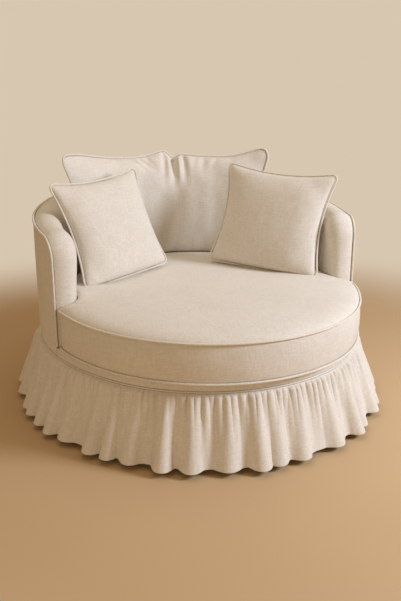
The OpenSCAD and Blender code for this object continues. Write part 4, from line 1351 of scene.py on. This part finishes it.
class LOUNGE_OT_deck(bpy.types.Operator):
    """Makes the woven webbing, the deck pad and its cloth, and the stapled dust cover"""

    bl_idname = "lounge.deck"
    bl_label = "Deck and dust cover"

    # Webbing: the straps' pitch, width, thickness and number each way, how far inside the wall
    # they end, and how far they weave up and down, as a share of half their layer
    pitch, wide, strap_t, count = 0.13, 0.06, 0.0019, 7
    wall_room, end_room, weave = 0.0076, 0.004, 0.52
    # Where the front half of an outline ends and its rear half begins
    webbing_parted, rim_parted = 0.1, 0.04
    # Pad and cloth: their middle ahead of the arc's centre, their insets ahead of the arms, the
    # room to the wall, and how the pad's edge rounds over
    middle_y, pad_in, cloth_in, side_room = 0.15, 0.0142, 0.0705, 0.003
    pad_ease, pad_round, pad_more = 0.0004, 0.002, 0.006
    # Dust cover: inset, the two places out from the middle between which a bearer passes each
    # side, its room at the sides, and how much it is drawn up in the middle
    dust_in, bearer_from, bearer_to, rim_room, sag = 0.0229, 0.0842, 0.1458, 0.0005, 0.0003
    # Staples: inset, pitch, wire, length as a share of the pitch, and room beside a bearer
    staple_in, staple_pitch, wire_r, staple_long, bearer_room = 0.032, 0.055, 0.0006, 0.11, 0.008

    def execute(self, context):
        b = sizes("barrel")
        plan = Plan(b)
        low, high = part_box("webbing_lengthways")[0].z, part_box("webbing_crossways")[1].z
        middle_z, swing = (low + high) / 2, self.weave * (high - low) / 2
        edge = plan.at(np.linspace(-90, 90, 700), b.wall_t + self.wall_room)
        front = edge[edge[:, 1] < self.webbing_parted]
        back = edge[edge[:, 1] > self.webbing_parted][::-1]
        lengthways, crossways = [], []
        for i in range(-(self.count // 2), self.count // 2 + 1):
            x = abs(i) * self.pitch + self.wide / 2
            ends = [np.interp(x, side[:, 0], side[:, 1]) for side in (front, back)]
            run = np.linspace(ends[0] + self.end_room, ends[1] - self.end_room, 90)
            z = middle_z + swing * (-1) ** i * np.cos(np.pi * run / self.pitch)
            lengthways.append(np.stack([0 * run + i * self.pitch, run, z], -1))
            y = i * self.pitch
            half = min(
                np.interp(y + k * self.wide / 2, edge[:, 1], edge[:, 0]) for k in (-1, 0, 1)
            ) - self.end_room
            run = np.linspace(-half, half, 90)
            z = middle_z - swing * (-1) ** i * np.cos(np.pi * run / self.pitch)
            crossways.append(np.stack([run, 0 * run + y, z], -1))
        for name, paths, node in (
            ("webbing_straps_lengthways", lengthways, "webbing_lengthways"),
            ("webbing_straps_crossways", crossways, "webbing_crossways"),
        ):
            straps(name, paths, self.wide, self.strap_t, "jute_webbing", "chair", node)

        middle = np.array([0, plan.back_c - self.middle_y])
        base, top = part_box("deck_pad")[0].z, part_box("deck_cloth")[1].z
        cloth_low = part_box("deck_cloth")[0].z
        outline = deck_outline(plan, b, self.pad_in, b.wall_t + self.side_room)
        pad = stacked("deck_pad_felt", outline, middle, [
            *[(k, base + self.pad_ease) for k in (0, 0.5, 0.98)],
            (0.994, base + self.pad_round), (1, base + self.pad_more),
            (1, cloth_low - self.pad_more), (0.992, cloth_low - self.pad_round),
            *[(k, cloth_low - self.pad_ease) for k in (0.975, 0.75, 0.5, 0.25, 0)],
        ])
        made = place("deck_pad_felt", pad, finish("fibre_wadding"), "chair", "fibre_wadding",
                     "deck_pad")
        outline = deck_outline(plan, b, self.cloth_in, b.wall_t + self.side_room)
        levels = (0, 0.25, 0.5, 0.75, 0.97, 1)
        cloth = stacked("deck_platform_cloth", outline, middle, [
            *[(k, cloth_low) for k in levels], *[(k, top) for k in levels[::-1]],
        ])
        made = place("deck_platform_cloth", cloth, finish("dark_cloth"), "chair", "dark_cloth",
                     "deck_cloth")
        x, y = outline.T
        area = abs((x * np.roll(y, -1) - y * np.roll(x, -1)).sum()) / 2

        low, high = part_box("dust_cover")[0].z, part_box("dust_cover")[1].z
        rim = plan.at(np.linspace(-90, 90, 700), self.dust_in)
        front = rim[rim[:, 1] < self.rim_parted]
        behind = rim[rim[:, 1] >= self.rim_parted][::-1]
        reach = rim[:, 0].max() - self.rim_room
        inner, outer, parts, area = self.bearer_from, self.bearer_to, [], 0
        for x0, x1 in ((-inner, inner), (outer, reach), (-reach, -outer)):
            x = x0 + (x1 - x0) * (1 - np.cos(np.linspace(0, np.pi, 40))) / 2
            y0 = np.interp(np.abs(x), front[:, 0], front[:, 1])
            y1 = np.interp(np.abs(x), behind[:, 0], behind[:, 1])
            across = np.linspace(0, 1, 40)
            y = y0[:, None] + (y1 - y0)[:, None] * across
            sag = self.sag * np.sin(np.pi * across) + 0 * y
            faces = [np.stack([x[:, None] + 0 * y, y, z + sag], -1) for z in (high - b.ease, low)]
            parts.append(strip("dust_part", *faces))
            area += ((y1 - y0)[1:] + (y1 - y0)[:-1]) @ np.diff(x) / 2
        made = place(
            "dust_cover_cloth", joined("dust_cover_cloth", parts), finish("dark_cloth"),
            "chair", "dark_cloth", "dust_cover",
        )
        ring = at_height(plan.at(np.linspace(-90, 269, 720), self.staple_in), low - b.ease / 2)
        x = np.abs(ring[:, 0])
        clear = (x < inner - self.bearer_room) | (x > outer + self.bearer_room)
        runs = np.split(np.arange(len(ring)), np.flatnonzero(np.diff(clear)) + 1)
        arcs = [ring[r] for r in runs if clear[r[0]] and len(r) > 3]
        stitches(
            "dust_cover_staples", arcs, False, self.staple_pitch, self.wire_r, finish("steel"),
            "chair", "steel", long=self.staple_long,
        )
        return {"FINISHED"}


class LOUNGE_OT_seat_cushion(bpy.types.Operator):
    """Makes the seat cushion with its crown, boxing and two rows of piping"""

    bl_idname = "lounge.seat_cushion"
    bl_label = "Seat cushion"

    # Room between the cushion and an arm's nose, besides its roll and two pipings, and how far
    # ahead of the ears the front line ends
    nose_room, front_room = 0.004, 0.002
    # Steps of the outline, and the middle that its rings close on, ahead of the ears
    step, middle_ahead = 0.0095, 0.11
    # How far ahead of the ears they start to spread and the seam to climb, the run of that
    # climb, and the run behind the chair's middle over which the seam falls again
    ear_run, rise_run, fall_run = 0.22, 0.2, 0.2
    # Where the walls press on the seam: it starts over this much at the ears, lets go this far
    # behind the chair's middle, over this much, and the top swells over the seam so far, so wide
    press_run, free_at, free_run, over, over_wide = 0.03, 0.02, 0.12, 0.0125, 0.004
    # The boxing stands proud ahead of the ears: it starts this far ahead of them, over this much
    proud_at, proud_run = 0.005, 0.04
    # The top's rounding at its seam: its width and its fullness
    shoulder, fullness = 0.045, 0.75
    # A shallow dip behind, where the back cushion rests: from where, over what run, its depth,
    # its place in from the seam and its half width
    laden_at, laden_run, dip, dip_in, dip_wide = 0.16, 0.12, 0.0065, 0.056, 0.034
    # Puckers beside the seam: waves round it, least and most, seed, depth, place in from the
    # seam, half width, and share by which they show on the boxing
    waves, pucker, pucker_in, pucker_wide, pucker_side = (14, 44, 23), 0.0009, 0.022, 0.014, 0.1
    # Rings of the top, rows of the boxing, and points round each arm's nose
    rings, boxing_rows, nose_points = 46, 15, 40
    # The zip's turn round the back, in degrees, and its room to the boxing
    zip_turn, zip_room = (50, 130), 0.0006

    def execute(self, context):
        b, s = sizes("barrel"), sizes("seat")
        plan = Plan(b)
        clear = b.roll_rise + self.nose_room + 2 * b.piping_r
        seat_cy = plan.back_c - s.reach + s.front_l
        arm_turn = math.asin(b.arm_front / plan.side_r)
        ear_y = plan.back_c - (plan.side_r - b.wall_t / 2) * math.sin(arm_turn) - clear
        ear_turn = math.asin((seat_cy - ear_y) / s.front_l)
        q = -ear_turn - (math.pi - 2 * ear_turn) * np.linspace(0, 1, 400)
        front = np.stack([s.width / 2 * np.cos(q), seat_cy + s.front_l * np.sin(q)], -1)
        front[:, 0] += np.sign(front[:, 0]) * s.ear_out * eased_step(
            (front[:, 1] - ear_y + self.ear_run) / self.ear_run
        )
        q = np.linspace(np.pi / 2, 0, self.nose_points)
        w = b.wall_t / 2 + (s.inset - b.wall_t / 2) * np.cos(q)
        d = b.nose_depth - (b.nose_depth + clear) * np.sin(q)
        nose = plan.at(plan.arm_a + d * plan.per_m, w)
        start = plan.arm_a + b.nose_depth * plan.per_m
        behind = plan.at(np.linspace(180 - start, start, 400), s.inset)
        outline = np.concatenate([front, nose * [-1, 1], behind[1:-1], nose[::-1]])
        outline = softened(spaced_loop(outline, self.step), 2)
        front_line = outline[outline[:, 1] < ear_y - self.front_room]
        front_line = front_line[np.argsort(np.arctan2(front_line[:, 0], -front_line[:, 1]))]
        middle = np.array([0, ear_y - self.middle_ahead])
        n = len(outline)
        along = np.roll(outline, -1, 0) - np.roll(outline, 1, 0)
        out = unit(np.stack([along[:, 1], -along[:, 0]], -1))
        if ((outline - middle) * out).sum() < 0:
            out = -out
        y = outline[:, 1]
        ahead = np.clip((ear_y - self.proud_at - y) / self.proud_run, 0, 1)[:, None]
        pressed = eased_step((y - ear_y + self.press_run) / self.press_run) * (
            1 - eased_step((y - self.free_at) / self.free_run)
        )
        seam = s.seam + s.ear_rise * eased_step((y - ear_y + self.ear_run) / self.rise_run) * (
            1 - eased_step(y / self.fall_run)
        )
        pucker = wavering(n, *self.waves)
        laden = eased_step((y - self.laden_at) / self.laden_run)

        def flat(k, z):
            return at_height(middle + (outline - middle) * k, z)

        def rounded(edge):
            return 1 - np.exp(-((edge / self.shoulder) ** self.fullness))

        def crowned(k):
            """A ring of the top: it swells over the seam where the arms press on it."""
            p = flat(k, s.seam + (seam - s.seam) * k**3)
            edge = distances(p[:, :2], outline)
            from_front = distances(p[:, :2], front_line, False)
            held = rounded(from_front) * (1 - np.exp(-edge / self.over_wide))
            p[:, 2] += s.crown * (rounded(edge) * (1 - pressed) + held * pressed)
            dip = np.exp(-(((edge - self.dip_in) / self.dip_wide) ** 2))
            beside = np.exp(-(((edge - self.pucker_in) / self.pucker_wide) ** 2))
            p[:, 2] += self.pucker * pucker * beside - self.dip * laden * dip
            over = self.over * pressed * edge / self.over_wide * np.exp(1 - edge / self.over_wide)
            p[:, :2] += out * over[:, None]
            return p

        low_seam = s.low + b.piping_r + b.ease
        shares = 1 - np.linspace(0, 1, self.rings) ** 1.7
        top = [crowned(k) for k in shares]
        bottom = []
        for k in shares[::2]:
            p = flat(k, low_seam)
            p[:, 2] -= (low_seam - s.low) * rounded(distances(p[:, :2], outline))
            bottom.append(p)
        boxing = []
        for v in np.linspace(0, 1, self.boxing_rows):
            swell = s.boxing_out * (1 - (2 * v - 1) ** 2) ** 0.8
            swell = swell * (1 + self.pucker_side * pucker[:, None])
            z = low_seam + (seam - low_seam) * v
            boxing.append(at_height(outline + out * ahead * swell, z))
        rows = np.stack(bottom[::-1] + boxing + top)
        closed = np.concatenate([rows, rows[:, :1]], 1)
        uv = closed[..., :2].copy()
        run = lengths(closed, 1)
        k0, k1 = len(bottom), len(bottom) + len(boxing)
        uv[k0:k1] = np.stack([run[k0:k1], closed[k0:k1, :, 2]], -1)
        cloth = grid("seat_cushion_cover", rows, around=True, uv=uv)
        made = place(
            "seat_cushion_cover", cloth, finish("cream_linen"), "seat_cushion", "cream_linen",
            "seat_cover", "seat_wrap", "seat_core",
        )
        beside = outline + out * (b.piping_r + b.ease)
        for name, z, node in (
            ("seat_upper_piping", seam, "seat_piping_upper"),
            ("seat_lower_piping", low_seam, "seat_piping_lower"),
        ):
            piping(
                name, at_height(beside, z), True, b.piping_r, finish("linen_piping"),
                "seat_cushion", "cream_linen", node,
            )
        q = np.radians(np.linspace(*self.zip_turn, 60))
        r = b.back_r - s.inset + b.ease + self.zip_room
        height = (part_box("seat_zip")[0].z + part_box("seat_zip")[1].z) / 2
        path = at_height(np.stack([r * np.cos(q), plan.back_c + r * np.sin(q)], -1), height)
        zipped("seat_cushion_zip", path, SEAT_ZIP, "seat_cushion", "seat_zip")
        return {"FINISHED"}


def spaced_loop(points, step):
    """A closed line through points, with its points an even step apart."""
    closed = np.concatenate([points, points[:1]])
    run = lengths(closed, 0)
    count = round(run[-1] / step)
    at = np.arange(count) * run[-1] / count
    return np.stack([np.interp(at, run, closed[:, i]) for i in range(points.shape[1])], -1)


def softened(loop, rounds):
    for _ in range(rounds):
        loop = (np.roll(loop, 1, 0) + 2 * loop + np.roll(loop, -1, 0)) / 4
    return loop


def distances(points, loop, closed=True):
    """Distance of each point from a line."""
    a, b = (loop, np.roll(loop, -1, 0)) if closed else (loop[:-1], loop[1:])
    v = b - a
    w = points[:, None] - a[None]
    k = np.clip((w * v).sum(-1) / np.maximum((v * v).sum(-1), 1e-12), 0, 1)
    return np.linalg.norm(w - k[..., None] * v, axis=-1).min(1)


def panel(width, height, cell, pull, corner_r, low_pull=None):
    """A flat panel with drawn-in sides and rounded corners: its places from -1 to 1 each way
    and its points, across and up."""
    low_pull = pull if low_pull is None else low_pull
    u = np.linspace(-1, 1, round(width / cell) + 1)
    v = np.linspace(-1, 1, round(height / cell) + 1)
    uu, vv = np.meshgrid(u, v, indexing="ij")
    wide, high = 2 * corner_r / width, 2 * corner_r / height
    into_u = np.maximum(np.abs(uu) - 1 + wide, 0) / wide
    into_v = np.maximum(np.abs(vv) - 1 + high, 0) / high
    far = np.maximum(np.hypot(into_u, into_v), 1e-9)
    back_in = np.where(np.minimum(into_u, into_v) > 0, 1 - np.maximum(into_u, into_v) / far, 0)
    x = uu - np.sign(uu) * wide * into_u * back_in
    z = vv - np.sign(vv) * high * into_v * back_in
    x = width / 2 * x * (1 - pull * (1 - z * z))
    z = height / 2 * z * (1 - np.where(z < 0, low_pull, pull) * (1 - uu * uu))
    return uu, vv, np.stack([x, z], -1)


def facing(flat, half):
    """The two sides of a cushion over a flat panel, half as thick each way."""
    return (
        np.stack([flat[..., 0], -half, flat[..., 1]], -1),
        np.stack([flat[..., 0], half, flat[..., 1]], -1),
    )


# How far from the front panel the back panel was cut out of the cloth
CUT_APART = 1.3


def sewn_mesh(name, front, back):
    """Two panels sewn to each other round their rims, as one closed mesh, and where the points
    of each panel are in it."""
    n, m = front.shape[:2]
    at_front = np.arange(n * m).reshape(n, m)
    inner = np.zeros((n, m), bool)
    inner[1:-1, 1:-1] = True
    at_back = at_front.copy()
    at_back[inner] = n * m + np.arange(inner.sum())
    i, j = np.meshgrid(np.arange(n - 1), np.arange(m - 1), indexing="ij")
    corners = [(i, j), (i + 1, j), (i + 1, j + 1), (i, j + 1)]
    faces = np.stack([at_front[c] for c in corners], -1).reshape(-1, 4)
    behind = np.stack([at_back[c] for c in corners[::-1]], -1).reshape(-1, 4)
    mesh = bpy.data.meshes.new(name)
    points = np.concatenate([front.reshape(-1, 3), back[inner]])
    mesh.from_pydata(points.tolist(), [], np.concatenate([faces, behind]).tolist())
    layer = mesh.uv_layers.new(name="UVMap")
    run = np.stack([lengths(front, 0).mean(1)[:, None] + np.zeros((n, m)), lengths(front, 1)], -1)
    front_uv = np.stack([run[c] for c in corners], -2).reshape(-1, 4, 2)
    back_uv = np.stack([run[c] for c in corners[::-1]], -2).reshape(-1, 4, 2) + CUT_APART
    both = np.concatenate([front_uv, back_uv]).astype(np.float32)
    layer.data.foreach_set("uv", both.ravel())
    mesh.shade_smooth()
    return mesh, at_front, at_back


def inflated(front, back, frames, pressure=4.0, tight=0.06):
    """Blows up two sewn panels by cloth simulation, with a tight seam, and returns them."""
    mesh, at_front, at_back = sewn_mesh("inflating", front, back)
    body = bpy.data.objects.new("inflating", mesh)
    bpy.context.collection.objects.link(body)
    seam = body.vertex_groups.new(name="seam")
    rim = np.concatenate([at_front[0], at_front[-1], at_front[:, 0], at_front[:, -1]])
    seam.add([int(i) for i in np.unique(rim)], 1.0, "ADD")
    cloth = body.modifiers.new("Cloth", "CLOTH")
    rule = cloth.settings
    rule.quality = 4
    rule.tension_stiffness = rule.compression_stiffness = 20
    rule.shear_stiffness, rule.bending_stiffness = 6, 0.3
    rule.use_pressure, rule.uniform_pressure_force = True, pressure
    rule.effector_weights.gravity = 0
    rule.vertex_group_shrink, rule.shrink_min, rule.shrink_max = "seam", 0.0, tight
    scene = bpy.context.scene
    for step in range(1, frames + 1):
        scene.frame_set(step)
    graph = bpy.context.evaluated_depsgraph_get()
    blown = body.evaluated_get(graph)
    points = points_of(blown.to_mesh())
    blown.to_mesh_clear()
    body.modifiers.remove(cloth)
    bpy.data.objects.remove(body)
    scene.frame_set(1)
    return points[at_front], points[at_back]


def on_rim(points, rim):
    """Puts a closed line of points on a panel's rim."""
    n, m = points.shape[:2]
    points[:-1, 0], points[-1, :-1] = rim[: n - 1], rim[n - 1 : n + m - 2]
    points[:0:-1, -1], points[0, :0:-1] = rim[n + m - 2 : 2 * n + m - 3], rim[2 * n + m - 3 :]


def relaxed(points, rounds):
    """A panel's points, each drawn towards its neighbours; its rim stays."""
    for _ in range(rounds):
        beside = points[:-2, 1:-1] + points[2:, 1:-1] + points[1:-1, :-2] + points[1:-1, 2:]
        points[1:-1, 1:-1] = (beside + 4 * points[1:-1, 1:-1]) / 8
    return points


def finer(points):
    """A panel's points at half their spacing both ways."""
    for axis in (0, 1):
        points = np.moveaxis(points, axis, 0)
        doubled = np.empty((2 * len(points) - 1, *points.shape[1:]))
        doubled[::2], doubled[1::2] = points, (points[:-1] + points[1:]) / 2
        points = np.moveaxis(doubled, 0, axis)
    return relaxed(points.copy(), 3)


def fitted(front, back, flat, thick, rounds, twist=0.4, spread=900):
    """Two blown-up panels brought back to the cut's outline and the cushion's thickness, with
    their small wrinkles taken out. The seam keeps a share of its twist, and its shift is
    spread over the panels."""
    seam, want = rim_of(front), rim_of(flat)
    for made in (front, back):
        for k, axis in ((0, 0), (1, 2)):
            low, high = seam[:, axis].min(), seam[:, axis].max()
            scale = np.ptp(want[:, k]) / (high - low)
            made[..., axis] = (made[..., axis] - (low + high) / 2) * scale
    seam = rim_of(front)
    drift = twist * softened(seam[:, 1] - seam[:, 1].mean(), 12)
    want = np.stack([want[:, 0], drift, want[:, 1]], -1)
    shift = np.zeros(front.shape)
    on_rim(shift, want - seam)
    shift = relaxed(shift, spread)
    front, back = relaxed(front + shift, rounds), relaxed(back + shift, rounds)
    deep = abs(back[..., 1].max() - front[..., 1].min())
    for made in (front, back):
        made[..., 1] *= thick / deep
    return front, back


def along_lower_edge(back, share_of, out):
    """A line on a cushion's back panel just above its lower seam, held clear of the cloth."""
    n = len(back)
    part = slice(round(n * (1 - share_of) / 2), round(n * (1 + share_of) / 2))
    along = np.gradient(back, axis=0)[part, 1]
    up = (back[:, 2] - back[:, 0])[part]
    normal = unit(np.cross(up, along))
    middle = back.reshape(-1, 3).mean(0)
    normal *= np.sign((normal * (back[part, 1] - middle)).sum())
    return back[part, 1] + normal * out


def rim_of(points):
    """The rim of a panel as one closed line of points."""
    return np.concatenate([
        points[:-1, 0], points[-1, :-1], points[:0:-1, -1], points[0, :0:-1]
    ])


def outward_of(path, normal):
    """Directions square to a closed line and to its panel's face, away from its middle."""
    along = unit(np.roll(path, -1, 0) - np.roll(path, 1, 0))
    out = unit(np.cross(along, normal))
    return out * np.sign((out * (path - path.mean(0))).sum())


def puff(u, v):
    return np.sqrt(np.maximum(1 - u * u, 0)) * np.sqrt(np.maximum(1 - v * v, 0))


class BackForm:
    """Middle surface of the back cushion; u runs from the right end to the left, v upwards."""

    # Shares: how much less far the ends reach halfway up than above and below, how far the
    # upper edge dips in its middle, and how much of their spread the ears also rise
    end_bow, edge_dip, ear_up = 0.025, 0.04, 0.35

    def __init__(self, k, plan):
        self.k, self.plan = k, plan

    def middle(self, u, v):
        k = self.k
        up = np.maximum((v + 1) / 2, 0)
        ears = np.abs(u) ** 3 * up**2
        a = np.radians(90) + k.aside + k.span / 2 * u * (1 - self.end_bow * (1 - v * v))
        r = k.radius + k.lean * (v + 1) / 2 + k.ear * ears
        dip = np.where(v > 0, self.edge_dip * (1 - u * u), 0)
        z = k.middle_z + k.height / 2 * v * (1 - dip) + self.ear_up * k.ear * ears
        return np.stack([r * np.cos(a), self.plan.back_c + r * np.sin(a), z], -1)

    def normal(self, u, v, h=0.01):
        du = self.middle(u + h, v) - self.middle(u - h, v)
        dv = self.middle(u, v + h) - self.middle(u, v - h)
        return unit(np.cross(du, dv))


class LOUNGE_OT_back_cushion(bpy.types.Operator):
    """Makes the bent back cushion with its piping"""

    bl_idname = "lounge.back_cushion"
    bl_label = "Back cushion"

    # The flat panels: their cell, how far the sides are drawn in, and the corners' radius
    cell, pull, corner_r = 0.0088, 0.02, 0.045
    # Blowing up: how thick it starts, the frames it takes, and the rounds that smooth it after
    start_t, frames, rounds = 0.018, 13, 14
    # How much further out the upper left corner reaches, as a share
    corner_out = 0.03
    # The low edge sags over its seam: place, half height and depth, as shares of half the height
    sag_at, sag_wide, sag = 0.86, 0.2, 0.085
    # The cloth's thickness at which creases and sag have their full depth
    crease_full, sag_full = 0.02, 0.014
    # The piping's points are this far apart, and the zip takes this share of the lower edge
    cord_step, zip_share = 0.006, 0.36
    # The upper edge from the right corner to the left: place along it, and rise as a share of
    # half the height. It is drawn up and pinched near the middle.
    upper_edge = (
        (-1, -0.02), (-0.955, 0.01), (-0.84, -0.045), (-0.7, -0.1), (-0.6, -0.095),
        (-0.4, -0.055), (-0.225, 0.005), (-0.15, -0.08), (-0.085, 0.085), (-0.04, 0.085),
        (0.1, -0.015), (0.255, -0.04), (0.46, -0.025), (0.8, 0.03), (1, -0.01),
    )
    # Creases down from the upper edge: place, lean, half width, depth and reach
    folds = (
        (-0.150, -0.01, 0.025, 0.030, 0.90), (-0.250, -0.03, 0.024, 0.022, 0.78),
        (-0.065, 0.04, 0.024, 0.012, 0.80), (-0.199, -0.02, 0.018, -0.009, 0.80),
        (-0.108, 0.01, 0.018, -0.008, 0.80), (0.120, -0.30, 0.022, 0.008, 0.42),
        (0.200, -0.45, 0.024, 0.012, 0.46), (0.290, -0.50, 0.024, 0.010, 0.40),
        (-0.360, 0.04, 0.026, 0.006, 0.45), (-0.450, 0.06, 0.026, 0.007, 0.50),
        (-0.560, 0.08, 0.026, 0.006, 0.45),
    )

    def execute(self, context):
        b, k = sizes("barrel"), sizes("back")
        form = BackForm(k, Plan(b))
        wide = k.span * k.radius
        uu, vv, flat = panel(wide, k.height, self.cell, self.pull, self.corner_r)
        blown = inflated(*facing(flat, self.start_t * puff(uu, vv)), self.frames)
        front, back = (finer(made) for made in fitted(*blown, flat, k.thick, self.rounds))

        def bent(points, folded):
            """A flat cushion's points bent round the wall, with the creases on one side."""
            u, v = points[..., 0] / (wide / 2), points[..., 2] / (k.height / 2)
            depth = points[..., 1]
            high = np.clip(v, 0, 1) ** 5
            u = u * (1 + self.corner_out * np.clip(u, 0, 1) ** 3 * high)
            drawn = np.interp(u, *zip(*self.upper_edge))
            if folded:
                full = np.clip(points[..., 1] / self.crease_full, 0, 1)
                for at, lean, width, deep, reach in self.folds:
                    aside = (u - at - lean * (1 - v)) / (width * (1 + 1.2 * (1 - v)))
                    down = eased_step((v - 1 + reach) / reach)
                    depth = depth - deep * np.exp(-(aside**2)) * down * full
                low = np.exp(-(((v + self.sag_at) / self.sag_wide) ** 2))
                v = v - self.sag * low * np.clip(points[..., 1] / self.sag_full, 0, 1)
            v = v + drawn * high
            v = v - k.sink / (k.height / 2) * np.clip(-v, 0, 1) ** 3
            return form.middle(u, v) + form.normal(u, v) * -depth[..., None]

        rim = bent(rim_of(front), False)
        mesh = sewn_mesh("back_cushion_cover_cloth", bent(front, False), bent(back, True))[0]
        made = place(
            "back_cushion_cover_cloth", mesh, finish("cream_linen"), "back_cushion",
            "cream_linen", "back_cushion_cover", "back_cushion_insert",
        )
        flat_rim = rim_of(front)
        face = form.normal(flat_rim[:, 0] / (wide / 2), flat_rim[:, 2] / (k.height / 2))
        rim = rim + outward_of(rim, face) * (k.cord_r + 2 * b.ease)
        rim = spaced_loop(rim, self.cord_step)
        piping(
            "back_cushion_edge_piping", softened(rim, 3), True, k.cord_r,
            finish("linen_piping"), "back_cushion", "cream_linen", "back_cushion_piping",
        )
        line = along_lower_edge(bent(front, False), self.zip_share, ZIP_OUT)
        zipped("back_cushion_cover_zip", line, COVER_ZIP, "back_cushion", "back_cushion_zip")
        return {"FINISHED"}


class LOUNGE_OT_pillows(bpy.types.Operator):
    """Makes the two loose pillows with their piping"""

    bl_idname = "lounge.pillows"
    bl_label = "Loose pillows"

    # Each pillow: its middle's place from the centre of the half circle, the share of the
    # seat's crown that is under it, and its turn, lean and tilt in degrees
    stands = {
        "left": ((-0.3047, 0.0932), 0.55, 28.5, 23, 3.9),
        "right": ((0.325, 0.018), 0.49, -45.6, 20.9, -3.3),
    }
    # Room between the lower piping and the seat
    off_seat = 0.0016
    # The flat panels: their cell, the share of the pull that they are cut with, and the
    # corners' radius; then how the filled pillow's outline differs
    cell, cut_pull, cut_r = 0.008, 0.6, 0.03
    full_pull, full_low, full_r, full_wide = 1.9, 0.0, 0.024, 1.014
    # Blowing up: how thick it starts, the frames it takes, and the rounds that smooth it after
    start_t, frames, rounds = 0.016, 14, 7
    # Share by which the blown-up cloth is drawn to a plain filled shape, and that shape's
    # fullness, less being fuller
    evenness, fullness = 0.75, 0.9
    # Share by which the pillow is thinner above and thicker below
    settled = 0.12
    # The low edge sags over its seam: place and half height as shares, depth, and the
    # thickness at which it has its full depth
    sag_at, sag_wide, sag, sag_full = 0.84, 0.2, 0.011, 0.02
    # The piping's points are this far apart, and the zip takes this share of the lower edge
    cord_step, zip_share = 0.005, 0.5

    def execute(self, context):
        b, p = sizes("barrel"), sizes("pillows")
        plan = Plan(b)
        seat, cord_r = sizes("seat"), sizes("back").cord_r
        for side, (at, crown, *turns) in self.stands.items():
            w, h = getattr(p, side + "_w"), getattr(p, side + "_h")
            turned, lean, tilt = (math.radians(turn_of) for turn_of in turns)
            up = math.cos(lean) * (h * math.cos(tilt) + w * math.sin(abs(tilt))) / 2
            z = seat.seam + 2 * cord_r + self.off_seat + crown * seat.crown + up
            stand = (
                Matrix.Translation((at[0], plan.back_c + at[1], z))
                @ Matrix.Rotation(turned, 4, "Z")
                @ Matrix.Rotation(-lean, 4, "X")
                @ Matrix.Rotation(-tilt, 4, "Y")
            )
            uu, vv, flat = panel(w, h, self.cell, p.pull * self.cut_pull, self.cut_r)
            cut = panel(w, h, self.cell, p.pull * self.full_pull, self.full_r, self.full_low)[2]
            cut = cut * (self.full_wide, 1)
            blown = inflated(*facing(flat, self.start_t * puff(uu, vv)), self.frames)
            front, back = fitted(*blown, cut, p.thick, self.rounds)
            full = p.thick / 2 * puff(uu, vv) ** self.fullness
            for made, plump in zip((front, back), facing(cut, full)):
                made += self.evenness * (plump - made)
            for made in (front, back):
                made[..., 1] *= 1 - self.settled * vv
                low = np.exp(-(((vv + self.sag_at) / self.sag_wide) ** 2))
                thick = np.clip(np.abs(made[..., 1]) / self.sag_full, 0, 1)
                made[..., 2] -= self.sag * low * thick
            name = f"{side}_pillow_cover_cloth"
            mesh = sewn_mesh(name, front, back)[0]
            mesh.transform(stand)
            made = place(
                name, mesh, finish("cream_linen"), f"{side}_pillow", "cream_linen",
                f"{side}_pillow_cover", f"{side}_pillow_insert",
            )
            smooth = made.modifiers.new("Smooth", "SUBSURF")
            smooth.levels = smooth.render_levels = 1
            rim = rim_of(front)
            out = outward_of(rim, np.array([0.0, 1.0, 0.0]))
            rim = spaced_loop(rim + out * (cord_r + 2 * b.ease), self.cord_step)
            rim = softened(rim, 3)
            path = [stand @ Vector(q) for q in rim]
            piping(
                f"{side}_pillow_edge_piping", path, True, cord_r, finish("linen_piping"),
                f"{side}_pillow", "cream_linen", f"{side}_pillow_piping",
            )
            line = along_lower_edge(back, self.zip_share, ZIP_OUT)
            zipped(
                f"{side}_pillow_cover_zip", [stand @ Vector(q) for q in line], COVER_ZIP,
                f"{side}_pillow", f"{side}_pillow_zip",
            )
        return {"FINISHED"}


OPERATORS = (
    LOUNGE_OT_stage,
    LOUNGE_OT_frame_finishes,
    LOUNGE_OT_wall_pad,
    LOUNGE_OT_outside,
    LOUNGE_OT_skirt,
    LOUNGE_OT_deck,
    LOUNGE_OT_seat_cushion,
    LOUNGE_OT_back_cushion,
    LOUNGE_OT_pillows,
)


class LOUNGE_PT_panel(bpy.types.Panel):
    """Lists the chair's pieces"""

    bl_idname = "LOUNGE_PT_panel"
    bl_label = "Round lounge chair"
    bl_space_type = "VIEW_3D"
    bl_region_type = "UI"
    bl_category = "Lounge chair"

    def draw(self, context):
        for operator in OPERATORS:
            self.layout.operator(operator.bl_idname)


CLASSES = (*GROUPS.values(), *OPERATORS, LOUNGE_PT_panel)


def register():
    for made in CLASSES:
        bpy.utils.register_class(made)
    for name, group in GROUPS.items():
        setattr(bpy.types.Scene, name, PointerProperty(type=group))


def unregister():
    for name in GROUPS:
        delattr(bpy.types.Scene, name)
    for made in reversed(CLASSES):
        bpy.utils.unregister_class(made)


def main():
    register()
    for operator in OPERATORS:
        family, name = operator.bl_idname.split(".")
        getattr(getattr(bpy.ops, family), name)()
    boxes = {"cad": cad_box, "visual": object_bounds()}
    boxes = {k: [list(map(float, corner)) for corner in v] for k, v in boxes.items()}


if __name__ == "__main__":
    main()
